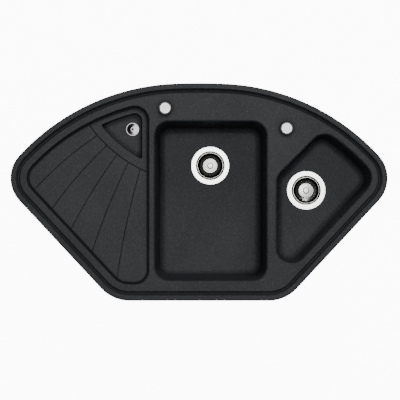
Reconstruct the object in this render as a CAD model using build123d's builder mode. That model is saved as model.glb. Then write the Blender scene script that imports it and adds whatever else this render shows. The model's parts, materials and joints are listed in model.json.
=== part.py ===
"""Corner kitchen sink: a stone-composite moulding with two bowls and a drainer, its strainer
wastes with their turning controls on the deck, the overflow, the pipework and the fixing claws.

Millimetres. +Z is up, +Y points into the corner of the room, the short front edge faces -Y.
z = 0 is the worktop. The origin is under the middle of the front rim, on the band that rests
on the worktop. Heights of a fitting are counted from the surface that it is fixed to.
"""

import os
from math import asin, atan2, cos, degrees, radians, sin, sqrt, tan

from build123d import *

# ---------------------------------------------------------------- driving dimensions

# Outline of the rim
overall_width = 1060
overall_depth = 612
back_to_widest_share = 0.4363
back_radius = 1800
back_flat_width = 136
side_corner_radius = 94
diagonal_angle = 47
front_corner_radius = 108

# Rim, channel and deck
seat_width = 14
rim_height = 8
rim_edge_radius = 5
crest_width = 15
crest_radius = 2.5
crest_slope_width = 5
channel_width = 12
channel_drop = 4
deck_slope_width = 3
deck_height = 3
deck_thickness = 10
wall = 9

# Bowls
main_width = 314
main_front_margin = 57
main_back_margin = 108
main_depth = 190
main_corner_radius = 40
main_drain_from_back = 119
corner_span = 311
corner_upper = 157
corner_depth = 132
corner_corner_radius = 42
corner_drain_margin = 93
bridge_width = 29
ridge_width = 17
pocket_margin = 46
bowl_draft = 2.5
bowl_floor_radius = 20
shell_top_drop = 5
mouth_radius = 6

# Drainer: recess, groove, fan lines, frame and tray
drainer_corner_radius = 40
drainer_edge_radius = 2.5
drainer_drop = 11
drainer_fall = 1.0
groove_width = 7
groove_depth = 4.5
frame_radius = 386
frame_center_offset = (196, 234)
frame_step = 1.2
frame_side_band = 12
frame_arc_band = 24
frame_line_width = 3
frame_line_depth = 2.6
tray_depth = 16
tray_corner_radius = 5
tray_draft = 12
tray_floor_radius = 3
fan_line_count = 5
fan_first_angle = 220.6
fan_angle_step = 5.7
fan_first_heading = 213.6
fan_heading_step = 10
fan_first_radius = 950
fan_radius_step = 285
fan_line_length = 340
fan_line_width = 3
fan_line_depth = 1.4
rosette_from_side = 47
rosette_from_back = 111

# Seal under the rim and claws under the worktop
seal_inset = 4
seal_width = 6
seal_depth = 2
worktop_thickness = 38
claw_inset = 28
claw_from_front_corner = 46
claw_back_angle = 15
claw_reach = 24
claw_tail = 8
claw_width = 14
claw_sheet = 2.5
claw_tip_height = 10
boss_radius = 7
boss_height = 13
insert_radius = 3.5
insert_length = 11
claw_screw_radius = 2.5
claw_screw_grip = 9
claw_screw_head_radius = 5
claw_screw_head_height = 3

# Knock-out for a tap, from below
tap_hole_radius = 17.5
tap_hole_depth = 5

# Strainer waste
flange_radius = 55.5
flange_sheet = 1.2
flange_below_floor = 0.3
flange_seal_thickness = 1
flange_mouth_rounding = 3
cup_radius = 40
cup_depth = 23.8
cup_floor_rounding = 5
waste_hole_radius = 44
cup_window_count = 6
cup_window_radius = 4.7
cup_window_circle = 16.5
basket_rim_radius = 38.9
basket_sheet = 0.8
basket_lip_height = 1.4
basket_lip_radius = 1
basket_bend_radius = 3
basket_floor_radius = 21
basket_mouth_radius = 36.6
basket_top = 1.6
basket_shoulder_radius = 33
basket_shoulder_height = 4.5
basket_stand = 6.8
basket_hole_count = 20
basket_hole_radius = 1.9
basket_hole_circles = (23, 28.7)
hub_radius = 19.7
hub_height = 2.2
hub_edge_height = 1
knob_neck_radius = 5
knob_ring_radius = 9.2
knob_top_radius = 6.5
knob_stand = 8
knob_ring_height = 3.2
stem_radius = 3
seal_plate_radius = 30
seal_plate_thickness = 2
basket_seal_inner_radius = 26
basket_seal_radius = 33
basket_seal_thickness = 3.6
screw_radius = 6
screw_head_radius = 9.5
screw_head_height = 2.5
pin_radius = 2.5
pin_foot_radius = 4
pin_foot_height = 2.5
pin_lift = 8

# Waste chamber, its lever and its outlet
waste_seal_thickness = 2
chamber_flange_radius = 54
chamber_flange_height = 5
chamber_radius = 43
chamber_wall = 3
chamber_depth = 55
hub_tube_radius = 9.5
hub_tube_length = 12
hub_arm_height = 9
hub_arm_count = 3
hub_arm_width = 4
hub_arm_angle = 90
funnel_height = 11
outlet_length = 20
lever_arm = 22
lever_shaft_radius = 3
lever_thickness = 4
lever_width = 5
lever_finger_thickness = 2
crank_length = 16
crank_thickness = 4
crank_gap = 2
shaft_boss_radius = 6
shaft_boss_end = 50
clip_wall = 2.5
clip_width = 5
lug_size = 14
lug_thickness = 6
lug_drop = 12
cable_radius = 3.1

# Round pipes and their unions: pipe radius, socket bore, socket outside
pipe_radius = 20
pipe_wall = 2.2
socket_bore = 20.4
socket_radius = 23
small_pipe_radius = 10
small_pipe_wall = 1.8
small_socket_bore = 10.3
small_socket_radius = 12.5
union_insertion = 15
union_end_gap = 2
union_seal_length = 5
union_nut_length = 20
union_nut_wall = 5
union_lip = 3
union_rib_count = 8
tee_drop = 45
tee_branch_length = 42
tee_outlet_length = 45
tee_body_radius = 24.5
tee_body_length = 50
link_fall = 1.5
elbow_bend_radius = 30
elbow_arm = 62
overflow_bend_radius = 45
overflow_inlet_drop = 34
overflow_inlet_length = 32

# Overflow in the tray
rosette_radius = 19
rosette_thickness = 1.6
rosette_rim_width = 2.6
rosette_slot_width = 2.6
rosette_slot_circles = (7.6, 12.2)
rosette_slot_counts = (3, 3)
rosette_bridge = 4.2
rosette_screw_radius = 2
rosette_screw_head_radius = 3.6
rosette_screw_head_height = 1.4
rosette_screw_length = 24
rosette_dome = 0.35
overflow_hole_radius = 15
overflow_seal_thickness = 1.5
overflow_flange_radius = 22
overflow_flange_height = 3
overflow_chamber_radius = 14
overflow_chamber_depth = 16
overflow_wall = 2.5
overflow_hub_radius = 5
overflow_spigot_length = 22

# Turning control of each waste
main_control_from_side = 29
main_control_from_back = 68
corner_control_from_side = 56
corner_control_from_back = 93
control_hole_radius = 12.5
control_seal_thickness = 1
bezel_radius = 19.3
bezel_height = 2
control_stem_radius = 12
control_stem_length = 30
spindle_radius = 5
control_knob_radius = 18.5
control_knob_height = 7
control_knob_bevel = 4
control_knob_bevel_height = 2.6
control_washer_radius = 21
control_washer_thickness = 2
control_nut_radius = 19
control_nut_height = 7
box_radius = 21
box_wall = 2
box_top = 26
box_height = 24
drum_radius = 15
drum_groove_radius = 12
drum_height = 13
gland_radius = 5.5
gland_length = 15

# Clearances
running = 0.08
thread = 0.1
gap = 0.3
contact = 0.1

os.makedirs("parts", exist_ok=True)

# ---------------------------------------------------------------- derived places

half_width = overall_width / 2
front_edge_y = -seat_width / 2
back_edge_y = front_edge_y + overall_depth
widest_y = back_edge_y - back_to_widest_share * overall_depth
deck_underside_z = deck_height - deck_thickness
channel_z = deck_height - channel_drop
far = 2 * (overall_width + overall_depth)

# The outline is five tangent stretches on each side: the flat arc behind, the shoulder arc,
# the side corner, the straight diagonal and the front corner. The shoulder arc is the one
# that touches both the end of the flat arc and the side corner's circle.
back_center = Vector(0, back_edge_y - back_radius)
flat_direction = Vector(back_flat_width / 2 / back_radius, cos(asin(back_flat_width / 2 / back_radius)))
flat_end = back_center + flat_direction * back_radius
side_center = Vector(half_width - side_corner_radius, widest_y)
to_flat_end = flat_end - side_center
shoulder_radius = (to_flat_end.length**2 - side_corner_radius**2) / (
    2 * (to_flat_end.dot(flat_direction) - side_corner_radius)
)
shoulder_center = flat_end - flat_direction * shoulder_radius
flat_end_angle = degrees(atan2(flat_direction.Y, flat_direction.X))
to_side = side_center - shoulder_center
side_start_angle = degrees(atan2(to_side.Y, to_side.X))
diagonal_normal_angle = diagonal_angle - 90
diagonal_normal = Vector(1, 0).rotate(Axis.Z, diagonal_normal_angle)
diagonal_direction = Vector(-1, 0).rotate(Axis.Z, diagonal_angle)
diagonal_start = side_center + diagonal_normal * side_corner_radius
diagonal_run = (diagonal_start.Y - front_edge_y) / sin(radians(diagonal_angle))
front_vertex_x = (diagonal_start + diagonal_direction * diagonal_run).X
front_corner_center = Vector(
    front_vertex_x - front_corner_radius * tan(radians(diagonal_angle / 2)),
    front_edge_y + front_corner_radius,
)


def back_edge_at(x):
    """Height in plan of the rim's back edge at x."""
    if abs(x) <= back_flat_width / 2:
        return back_center.Y + sqrt(back_radius**2 - x**2)
    return shoulder_center.Y + sqrt(shoulder_radius**2 - (abs(x) - shoulder_center.X) ** 2)


def rim_outline(inset):
    """The rim's outline moved inwards by inset, as a face on the worktop plane."""
    with BuildSketch() as outline:
        with BuildLine():
            CenterArc(back_center, back_radius - inset, flat_end_angle, 90 - flat_end_angle)
            CenterArc(
                shoulder_center,
                shoulder_radius - inset,
                side_start_angle,
                flat_end_angle - side_start_angle,
            )
            side = CenterArc(
                side_center,
                side_corner_radius - inset,
                diagonal_normal_angle,
                side_start_angle - diagonal_normal_angle,
            )
            front = CenterArc(
                front_corner_center, front_corner_radius - inset, -90, diagonal_normal_angle + 90
            )
            Line(side @ 0, front @ 1)
            Line(front @ 0, (0, front_edge_y + inset))
            mirror(about=Plane.YZ)
        make_face()
    return outline.sketch


corner_left = half_width - corner_span
main_right = corner_left - bridge_width
main_left = main_right - main_width
main_front = front_edge_y + main_front_margin
main_back = back_edge_y - main_back_margin
drainer_right = main_left - ridge_width

main_floor_z = deck_height - main_depth
corner_floor_z = deck_height - corner_depth

upper_angle = 45
upper_normal = Vector(-sin(radians(upper_angle)), cos(radians(upper_angle)))
upper_point = side_center + upper_normal * corner_upper

main_drain = Vector((main_left + main_right) / 2, main_back - main_drain_from_back, main_floor_z)
corner_drain_x = corner_left + corner_drain_margin
corner_drain_y = (
    side_center.Y
    + (corner_upper - corner_drain_margin + (corner_drain_x - side_center.X) * sin(radians(upper_angle)))
    / cos(radians(upper_angle))
)
corner_drain = Vector(corner_drain_x, corner_drain_y, corner_floor_z)

rosette_x = drainer_right - rosette_from_side
rosette_y = back_edge_at(rosette_x) - rosette_from_back
frame_center = Vector(rosette_x + frame_center_offset[0], rosette_y + frame_center_offset[1])

# The fan falls towards the rosette, in the direction from the far corner of the drainer.
fall_direction = Vector(frame_center_offset[0], frame_center_offset[1]).normalized()
fall_slope = tan(radians(drainer_fall))
fan_normal = Vector(fall_direction.X * fall_slope, fall_direction.Y * fall_slope, 1).normalized()
fan_z = deck_height - drainer_drop
fan_z_at_origin = fan_z + fall_slope * (fall_direction.X * rosette_x + fall_direction.Y * rosette_y)
fan_plane = Plane(
    origin=(0, 0, fan_z_at_origin), x_dir=(1, 0, -fall_slope * fall_direction.X), z_dir=fan_normal
)
tray_z = fan_z - frame_step - tray_depth
rosette_place = Vector(rosette_x, rosette_y, tray_z)

main_control_x = main_left + main_control_from_side
main_control_y = back_edge_at(main_control_x) - main_control_from_back
main_control = Vector(main_control_x, main_control_y, deck_height)
corner_control_x = main_right + corner_control_from_side
corner_control_y = back_edge_at(corner_control_x) - corner_control_from_back
corner_control = Vector(corner_control_x, corner_control_y, deck_height)
channel_inset = crest_width + channel_width
tap_x = main_drain.X
tap_y = (main_back + wall + back_edge_at(tap_x) - channel_inset) / 2

# ---------------------------------------------------------------- flat profiles


def main_bowl_face(grow):
    """Mouth of the main bowl, widened by grow."""
    with BuildSketch() as face:
        with Locations(((main_left + main_right) / 2, (main_front + main_back) / 2)):
            RectangleRounded(
                main_width + 2 * grow, main_back - main_front + 2 * grow, main_corner_radius + grow
            )
    return face.sketch


def round_corners(radius):
    """Rounds the sharp corners of the sketch in hand, and leaves its wider arcs as they are."""
    offset(amount=-radius, kind=Kind.INTERSECTION)
    offset(amount=radius, kind=Kind.ARC)


def corner_bowl_face(grow):
    """Mouth of the corner bowl, widened by grow: it follows the rim, with two edges of its own."""
    outline = rim_outline(pocket_margin - grow)
    edge_point = upper_point + upper_normal * grow
    with BuildSketch() as face:
        add(outline)
        with Locations((corner_left - grow, widest_y)):
            Rectangle(far, far, align=(Align.MIN, Align.CENTER), mode=Mode.INTERSECT)
        with Locations((edge_point.X, edge_point.Y)):
            Rectangle(far, far, upper_angle, (Align.CENTER, Align.MAX), mode=Mode.INTERSECT)
        round_corners(corner_corner_radius + grow)
    return face.sketch


def drainer_face(inset):
    """The drainer's recess, moved inwards by inset."""
    outline = rim_outline(pocket_margin + inset)
    with BuildSketch() as face:
        add(outline)
        with Locations((drainer_right - inset, widest_y)):
            Rectangle(far, far, align=(Align.MAX, Align.CENTER), mode=Mode.INTERSECT)
        round_corners(drainer_corner_radius - inset)
    return face.sketch


def groove_face():
    """The groove that runs all round the drainer's floor."""
    inside = drainer_face(groove_width)
    around = drainer_face(0)
    with BuildSketch() as face:
        add(around)
        add(inside, mode=Mode.SUBTRACT)
    return face.sketch


def frame_face():
    """The field inside the groove that holds the tray, on the tray's side of the frame arc."""
    field = drainer_face(groove_width)
    with BuildSketch() as face:
        add(field)
        with Locations((frame_center.X, frame_center.Y)):
            Circle(frame_radius, mode=Mode.INTERSECT)
    return face.sketch


def frame_line_face():
    """The line between the frame and the fan, along the frame arc."""
    field = drainer_face(groove_width)
    with BuildSketch() as face:
        add(field)
        with Locations((frame_center.X, frame_center.Y)):
            Circle(frame_radius + frame_line_width, mode=Mode.INTERSECT)
            Circle(frame_radius, mode=Mode.SUBTRACT)
    return face.sketch


def tray_face(grow):
    """Mouth of the three-cornered tray, widened by grow."""
    field = drainer_face(groove_width + frame_side_band - grow)
    with BuildSketch() as face:
        add(field)
        with Locations((frame_center.X, frame_center.Y)):
            Circle(frame_radius - frame_arc_band + grow, mode=Mode.INTERSECT)
        round_corners(tray_corner_radius + grow)
    return face.sketch


outline = rim_outline(0)
seat_outline = rim_outline(seat_width)
crest_outline = rim_outline(crest_width)
deck_outline = rim_outline(channel_inset - deck_slope_width)
seal_outer = rim_outline(seal_inset)
seal_inner = rim_outline(seal_inset + seal_width)
main_mouth = main_bowl_face(0)
main_outside = main_bowl_face(wall)
corner_mouth = corner_bowl_face(0)
corner_outside = corner_bowl_face(wall)
drainer_recess = drainer_face(0)
groove_band = groove_face()
drainer_outside = drainer_face(-wall)
fan_reach = drainer_face(groove_width / 2)
frame_field = frame_face()
frame_line = frame_line_face()
tray_mouth = tray_face(0)
tray_outside = tray_face(wall)

# ---------------------------------------------------------------- claw places


def claw_places():
    """Pivot and outward direction of each claw, right side first, then its mirror image."""
    arc_angle = radians(90 - claw_back_angle)
    back_out = Vector(cos(arc_angle), sin(arc_angle))
    back_pivot = shoulder_center + back_out * (shoulder_radius - claw_inset)
    diagonal_pivot = diagonal_start + diagonal_direction * (diagonal_run / 2)
    diagonal_pivot = diagonal_pivot - diagonal_normal * claw_inset
    front_pivot = Vector(front_corner_center.X - claw_from_front_corner, front_edge_y + claw_inset)
    right = [(front_pivot, Vector(0, -1)), (diagonal_pivot, diagonal_normal), (back_pivot, back_out)]
    left = [(Vector(-p.X, p.Y), Vector(-n.X, n.Y)) for p, n in right]
    return right + left


claws = claw_places()
claw_points = [(pivot.X, pivot.Y) for pivot, _ in claws]
boss_z = deck_underside_z - boss_height

# ---------------------------------------------------------------- the moulding

# Block that the main bowl's hollow leaves, and the shell around it.
with BuildPart() as main_hollow:
    with BuildSketch(Plane.XY.offset(deck_height)):
        add(main_mouth)
    extrude(amount=-main_depth, taper=bowl_draft)
    fillet(main_hollow.edges().group_by(Axis.Z)[0], bowl_floor_radius)

with BuildPart() as main_shell:
    with BuildSketch(Plane.XY.offset(deck_height - shell_top_drop)):
        add(main_outside)
    extrude(amount=-(main_depth - shell_top_drop + wall), taper=bowl_draft)
    fillet(main_shell.edges().group_by(Axis.Z)[0], bowl_floor_radius)

with BuildPart() as corner_hollow:
    with BuildSketch(Plane.XY.offset(deck_height)):
        add(corner_mouth)
    extrude(amount=-corner_depth, taper=bowl_draft)
    fillet(corner_hollow.edges().group_by(Axis.Z)[0], bowl_floor_radius)

with BuildPart() as corner_shell:
    with BuildSketch(Plane.XY.offset(deck_height - shell_top_drop)):
        add(corner_outside)
    extrude(amount=-(corner_depth - shell_top_drop + wall), taper=bowl_draft)
    fillet(corner_shell.edges().group_by(Axis.Z)[0], bowl_floor_radius)

# The drainer's pan follows the fan's fall on its underside.
pan_depth = groove_depth + wall
with BuildPart() as drainer_pan:
    with BuildSketch(Plane.XY.offset(channel_z)):
        add(drainer_outside)
    extrude(amount=-(drainer_drop + pan_depth))
    split(bisect_by=fan_plane.offset(-pan_depth), keep=Keep.TOP)

with BuildPart() as tray_shell:
    with BuildSketch(Plane.XY.offset(tray_z - wall)):
        add(tray_outside)
    extrude(amount=channel_z - tray_z + wall)


def space_over(plane, face):
    """The space over a sloping plane, inside the upright walls that stand on face."""
    with BuildPart() as space:
        with BuildSketch(Plane.XY.offset(tray_z)):
            add(face)
        extrude(amount=rim_height - tray_z)
        split(bisect_by=plane, keep=Keep.TOP)
    return space.part


drainer_hollow = space_over(fan_plane, drainer_recess)
groove_hollow = space_over(fan_plane.offset(-groove_depth), groove_band)
frame_hollow = space_over(fan_plane.offset(-frame_step), frame_field)
frame_line_hollow = space_over(fan_plane.offset(-frame_line_depth), frame_line)

with BuildPart() as tray_hollow:
    with BuildSketch(Plane.XY.offset(fan_z)):
        add(tray_mouth)
    extrude(amount=-(frame_step + tray_depth), taper=tray_draft)
    fillet(tray_hollow.edges().group_by(Axis.Z)[0], tray_floor_radius)

# Fan lines are shallow V grooves on gently curved arcs that spread from the frame.
with BuildPart() as fan_grooves:
    for line in range(fan_line_count):
        start_angle = radians(fan_first_angle + line * fan_angle_step)
        heading = radians(fan_first_heading + line * fan_heading_step)
        line_radius = fan_first_radius + line * fan_radius_step
        with BuildLine(fan_plane) as fan_path:
            JernArc(
                start=(
                    frame_center.X + frame_radius * cos(start_angle),
                    frame_center.Y + frame_radius * sin(start_angle),
                ),
                tangent=(cos(heading), sin(heading)),
                radius=line_radius,
                arc_size=degrees(fan_line_length / line_radius),
            )
        start_tangent = fan_path.line % 0
        across = start_tangent.cross(fan_normal)
        with BuildSketch(Plane(origin=fan_path.line @ 0, x_dir=across, z_dir=start_tangent)):
            with BuildLine():
                Polyline(
                    (-fan_line_width / 2, -contact),
                    (fan_line_width / 2, -contact),
                    (0, fan_line_depth),
                    close=True,
                )
            make_face()
        sweep(path=fan_path.line)
    with BuildSketch(fan_plane.offset(-groove_depth)):
        add(fan_reach)
        with Locations((frame_center.X, frame_center.Y)):
            Circle(frame_radius, mode=Mode.SUBTRACT)
    extrude(amount=2 * groove_depth, dir=(0, 0, 1), mode=Mode.INTERSECT)

seat_recess_depth = flange_below_floor + flange_sheet + flange_seal_thickness

with BuildPart() as sink_body:
    # rim with its rounded crest, and the band that drops into the cut-out
    extrude(outline, amount=rim_height)
    fillet(sink_body.edges().group_by(Axis.Z)[-1], rim_edge_radius)
    extrude(seat_outline, amount=deck_underside_z)
    with BuildSketch(Plane.XY.offset(rim_height)):
        add(crest_outline)
    crest_drop = rim_height - channel_z
    extrude(amount=-crest_drop, taper=degrees(atan2(crest_slope_width, crest_drop)), mode=Mode.SUBTRACT)
    crest_top = sink_body.faces().filter_by(Plane.XY).sort_by(Axis.Z)[-1]
    fillet(crest_top.inner_wires()[0].edges(), crest_radius)

    # deck, bowls and drainer
    with BuildSketch(Plane.XY.offset(channel_z)):
        add(deck_outline)
    extrude(amount=channel_drop, taper=degrees(atan2(deck_slope_width, channel_drop)))
    add(main_shell.part)
    add(corner_shell.part)
    add(drainer_pan.part)
    add(tray_shell.part)
    add(main_hollow.part, mode=Mode.SUBTRACT)
    add(corner_hollow.part, mode=Mode.SUBTRACT)
    add(drainer_hollow, mode=Mode.SUBTRACT)
    level = sink_body.faces().filter_by(Plane.XY)
    deck_top = level.filter_by_position(Axis.Z, deck_height - contact, deck_height + contact)
    mouths = deck_top.sort_by(SortBy.AREA)[-1].inner_wires().sort_by(Axis.X)
    fillet(mouths[0].edges(), drainer_edge_radius)
    for mouth in mouths[1:]:
        fillet(mouth.edges(), mouth_radius)
    add(groove_hollow, mode=Mode.SUBTRACT)
    add(frame_hollow, mode=Mode.SUBTRACT)
    add(frame_line_hollow, mode=Mode.SUBTRACT)
    add(tray_hollow.part, mode=Mode.SUBTRACT)
    add(fan_grooves.part, mode=Mode.SUBTRACT)

    # waste seats and holes
    for drain in (main_drain, corner_drain):
        with Locations((drain.X, drain.Y, drain.Z)):
            Cylinder(
                flange_radius + gap,
                seat_recess_depth,
                align=(Align.CENTER, Align.CENTER, Align.MAX),
                mode=Mode.SUBTRACT,
            )
            Cylinder(waste_hole_radius, 4 * wall, mode=Mode.SUBTRACT)
    with Locations((rosette_x, rosette_y, tray_z)):
        Cylinder(overflow_hole_radius, 4 * wall, mode=Mode.SUBTRACT)
    for control in (main_control, corner_control):
        with Locations((control.X, control.Y, control.Z)):
            Cylinder(control_hole_radius, 4 * deck_thickness, mode=Mode.SUBTRACT)

    # tap knock-out, claw bosses with their insert holes, and the seal's rebate
    with Locations((tap_x, tap_y, deck_underside_z)):
        Cylinder(tap_hole_radius, 2 * tap_hole_depth, mode=Mode.SUBTRACT)
    with BuildSketch(Plane.XY.offset(boss_z)):
        with Locations(*claw_points):
            Circle(boss_radius)
    extrude(amount=boss_height + contact)
    with BuildSketch(Plane.XY.offset(boss_z)):
        with Locations(*claw_points):
            Circle(insert_radius)
    extrude(amount=insert_length, mode=Mode.SUBTRACT)
    with BuildSketch():
        add(seal_outer)
        add(seal_inner, mode=Mode.SUBTRACT)
    extrude(amount=seal_depth, mode=Mode.SUBTRACT)

sink_body.part.label = "sink_body"
export_step(sink_body.part, "parts/sink_body.step")

# Foam strip that fills the rebate under the rim.
with BuildPart() as rim_seal:
    with BuildSketch():
        add(seal_outer)
        add(seal_inner, mode=Mode.SUBTRACT)
    extrude(amount=seal_depth)

rim_seal.part.label = "rim_seal"
export_step(rim_seal.part, "parts/rim_seal.step")

# ---------------------------------------------------------------- turned pieces


def upright(place):
    """Frame of a fitting that stands on the surface at place."""
    return Plane(origin=place, x_dir=(1, 0, 0), z_dir=(0, 0, 1))


def turned(frame, *points, mode=Mode.ADD):
    """Turns a closed outline of (radius, height) points about the frame's upright axis."""
    with BuildSketch(Plane(origin=frame.origin, x_dir=frame.x_dir, z_dir=-frame.y_dir)) as section:
        with BuildLine():
            Polyline(*points, close=True)
        make_face()
    revolve(section.sketch, axis=Axis(frame.origin, frame.z_dir), mode=mode)


def ring(frame, inner, outer, bottom, top, mode=Mode.ADD):
    """A plain ring or tube about the frame's upright axis."""
    turned(frame, (inner, bottom), (outer, bottom), (outer, top), (inner, top), mode=mode)


def pressed(frame, sheet, path, radii):
    """Turns a bent sheet: path is its upper skin, from the rim inwards."""
    with BuildSketch(Plane(origin=frame.origin, x_dir=frame.x_dir, z_dir=-frame.y_dir)) as section:
        with BuildLine():
            skin = FilletPolyline(*path, radius=radii)
            offset(skin, amount=sheet, side=Side.LEFT)
        make_face()
    revolve(section.sketch, axis=Axis(frame.origin, frame.z_dir))


# ---------------------------------------------------------------- strainer wastes

# Heights in a waste, counted from the top of the bowl's floor.
flange_top = -flange_below_floor
flange_bottom = flange_top - flange_sheet
cup_floor = -cup_depth
cup_underside = cup_floor - flange_sheet
basket_floor = cup_floor + basket_stand
basket_shoulder = basket_floor + basket_shoulder_height
basket_underside = basket_floor - basket_sheet
plate_underside = basket_underside - seal_plate_thickness
body_top = -wall - waste_seal_thickness
hub_bottom = cup_underside - hub_tube_length
pin_top = plate_underside - contact
pin_foot_top = hub_bottom - pin_lift - 2 * gap
pin_foot_bottom = pin_foot_top - pin_foot_height
chamber_floor = -chamber_depth
funnel_floor = chamber_floor - funnel_height
outlet_mouth = funnel_floor - outlet_length
shaft_z = pin_foot_bottom - contact - lever_thickness / 2 + pin_lift / 2
lever_angle = degrees(asin(pin_lift / 2 / lever_arm))
shaft_y = lever_arm * cos(radians(lever_angle))
chamber_outside = chamber_radius + chamber_wall
screw_bore = pin_radius + running
crank_x = shaft_boss_end + crank_gap
cable_x = crank_x + crank_thickness / 2
cable_y = shaft_y + crank_length * cos(radians(lever_angle))

wastes = {"main": upright(main_drain), "corner": upright(corner_drain)}

# The overflow pipe meets the main waste on the side that faces the rosette.
overflow_heading = Vector(rosette_x - main_drain.X, rosette_y - main_drain.Y).normalized()
inlet_z = main_floor_z - overflow_inlet_drop
inlet_axis_point = Vector(main_drain.X, main_drain.Y, inlet_z)
inlet_mouth = chamber_radius + overflow_inlet_length
inlet_frame = Plane(origin=inlet_axis_point, x_dir=(0, 0, 1), z_dir=overflow_heading)


def shaft_plane(frame):
    """Plane square to the lever's shaft, in the middle of the waste."""
    shaft_center = frame.from_local_coords(Vector(0, shaft_y, shaft_z))
    return Plane(origin=shaft_center, x_dir=(0, 1, 0), z_dir=(1, 0, 0))


def make_flange(bowl, frame):
    """Pressed steel cup whose flange seats in the bowl's floor, with windows round its screw."""
    with BuildPart() as flange:
        pressed(
            frame,
            flange_sheet,
            [
                (flange_radius, flange_top),
                (cup_radius, flange_top),
                (cup_radius, cup_floor),
                (screw_radius + thread, cup_floor),
            ],
            [flange_mouth_rounding, cup_floor_rounding],
        )
        with BuildSketch(frame.offset(cup_floor + contact)):
            with PolarLocations(cup_window_circle, cup_window_count):
                Circle(cup_window_radius)
        extrude(amount=-2 * flange_sheet, mode=Mode.SUBTRACT)
    flange.part.label = f"{bowl}_flange"
    export_step(flange.part, f"parts/{bowl}_flange.step")


def make_waste_seals(bowl, frame):
    """Rubber rings above and below the bowl's floor."""
    with BuildPart() as flange_seal:
        ring(frame, waste_hole_radius, flange_radius, flange_bottom - flange_seal_thickness, flange_bottom)
    flange_seal.part.label = f"{bowl}_flange_seal"
    export_step(flange_seal.part, f"parts/{bowl}_flange_seal.step")

    with BuildPart() as waste_seal:
        ring(frame, waste_hole_radius, chamber_flange_radius, body_top, -wall)
    waste_seal.part.label = f"{bowl}_waste_seal"
    export_step(waste_seal.part, f"parts/{bowl}_waste_seal.step")


def make_waste_body(bowl, frame):
    """Moulded chamber under the bowl: screw hub, lever boss and threaded outlet."""
    with BuildPart() as waste_body:
        turned(
            frame,
            (chamber_radius, body_top),
            (chamber_flange_radius, body_top),
            (chamber_flange_radius, body_top - chamber_flange_height),
            (chamber_outside, body_top - chamber_flange_height),
            (chamber_outside, chamber_floor),
            (socket_radius, funnel_floor),
            (socket_radius, outlet_mouth),
            (socket_bore, outlet_mouth),
            (socket_bore, funnel_floor),
            (chamber_radius, chamber_floor),
        )
        ring(frame, screw_radius + thread, hub_tube_radius, hub_bottom, cup_underside)
        with BuildSketch(frame.offset(hub_bottom)):
            with PolarLocations(0, hub_arm_count, hub_arm_angle):
                with Locations(((hub_tube_radius + chamber_radius) / 2, 0)):
                    Rectangle(chamber_radius - hub_tube_radius + chamber_wall, hub_arm_width)
        extrude(amount=hub_arm_height)

        shaft = shaft_plane(frame)
        boss_start = sqrt(chamber_radius**2 - shaft_y**2) - chamber_wall
        ring(shaft, 0, shaft_boss_radius, boss_start, shaft_boss_end)
        ring(shaft, 0, lever_shaft_radius + running, 0, far, mode=Mode.SUBTRACT)
        ring(frame, 0, socket_bore, outlet_mouth, funnel_floor, mode=Mode.SUBTRACT)

        if bowl == "main":
            ring(inlet_frame, 0, small_socket_radius, chamber_radius, inlet_mouth)
            ring(inlet_frame, 0, small_socket_bore, chamber_radius - chamber_wall, far, mode=Mode.SUBTRACT)
    waste_body.part.label = f"{bowl}_waste_body"
    export_step(waste_body.part, f"parts/{bowl}_waste_body.step")


def make_cable_clip(bowl, frame):
    """Clip on the shaft's boss, with a lug that holds the end of the cable's sheath."""
    shaft = shaft_plane(frame)
    clip_start = shaft_boss_end - clip_width
    lug_top = shaft_z - lug_drop + lug_thickness / 2
    lug_bottom = lug_top - lug_thickness
    lug_end = cable_y + lug_size / 2
    with BuildPart() as cable_clip:
        ring(shaft, 0, shaft_boss_radius + clip_wall, clip_start, shaft_boss_end)
        with BuildSketch(frame.offset(lug_bottom)):
            with Locations((clip_start, shaft_y)):
                Rectangle(clip_width, lug_end - shaft_y, align=(Align.MIN, Align.MIN))
        extrude(amount=shaft_z - lug_bottom)
        with BuildSketch(frame.offset(lug_bottom)):
            with Locations((clip_start, shaft_y)):
                Rectangle(cable_x - clip_start, lug_end - shaft_y, align=(Align.MIN, Align.MIN))
            with Locations((cable_x, cable_y)):
                Rectangle(lug_size, lug_size)
        extrude(amount=lug_thickness)
        ring(shaft, 0, shaft_boss_radius + contact, 0, far, mode=Mode.SUBTRACT)
        cable_frame = upright(frame.from_local_coords(Vector(cable_x, cable_y, lug_top)))
        ring(cable_frame, 0, cable_radius, -2 * lug_thickness, lug_thickness, mode=Mode.SUBTRACT)
    cable_clip.part.label = f"{bowl}_cable_clip"
    export_step(cable_clip.part, f"parts/{bowl}_cable_clip.step")


def make_clamp_screw(bowl, frame):
    """Hollow screw that pulls the flange and the chamber together and guides the lift pin."""
    with BuildPart() as clamp_screw:
        turned(
            frame,
            (screw_bore, cup_floor + screw_head_height),
            (screw_head_radius, cup_floor + screw_head_height),
            (screw_head_radius, cup_floor),
            (screw_radius, cup_floor),
            (screw_radius, hub_bottom),
            (screw_bore, hub_bottom),
        )
    clamp_screw.part.label = f"{bowl}_clamp_screw"
    export_step(clamp_screw.part, f"parts/{bowl}_clamp_screw.step")


def make_lift_pin(bowl, frame):
    """Pin that pushes the basket up, with a foot that the lever lifts."""
    with BuildPart() as lift_pin:
        turned(
            frame,
            (0, pin_top),
            (pin_radius, pin_top),
            (pin_radius, pin_foot_top),
            (pin_foot_radius, pin_foot_top),
            (pin_foot_radius, pin_foot_bottom),
            (0, pin_foot_bottom),
        )
    lift_pin.part.label = f"{bowl}_lift_pin"
    export_step(lift_pin.part, f"parts/{bowl}_lift_pin.step")


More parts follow.
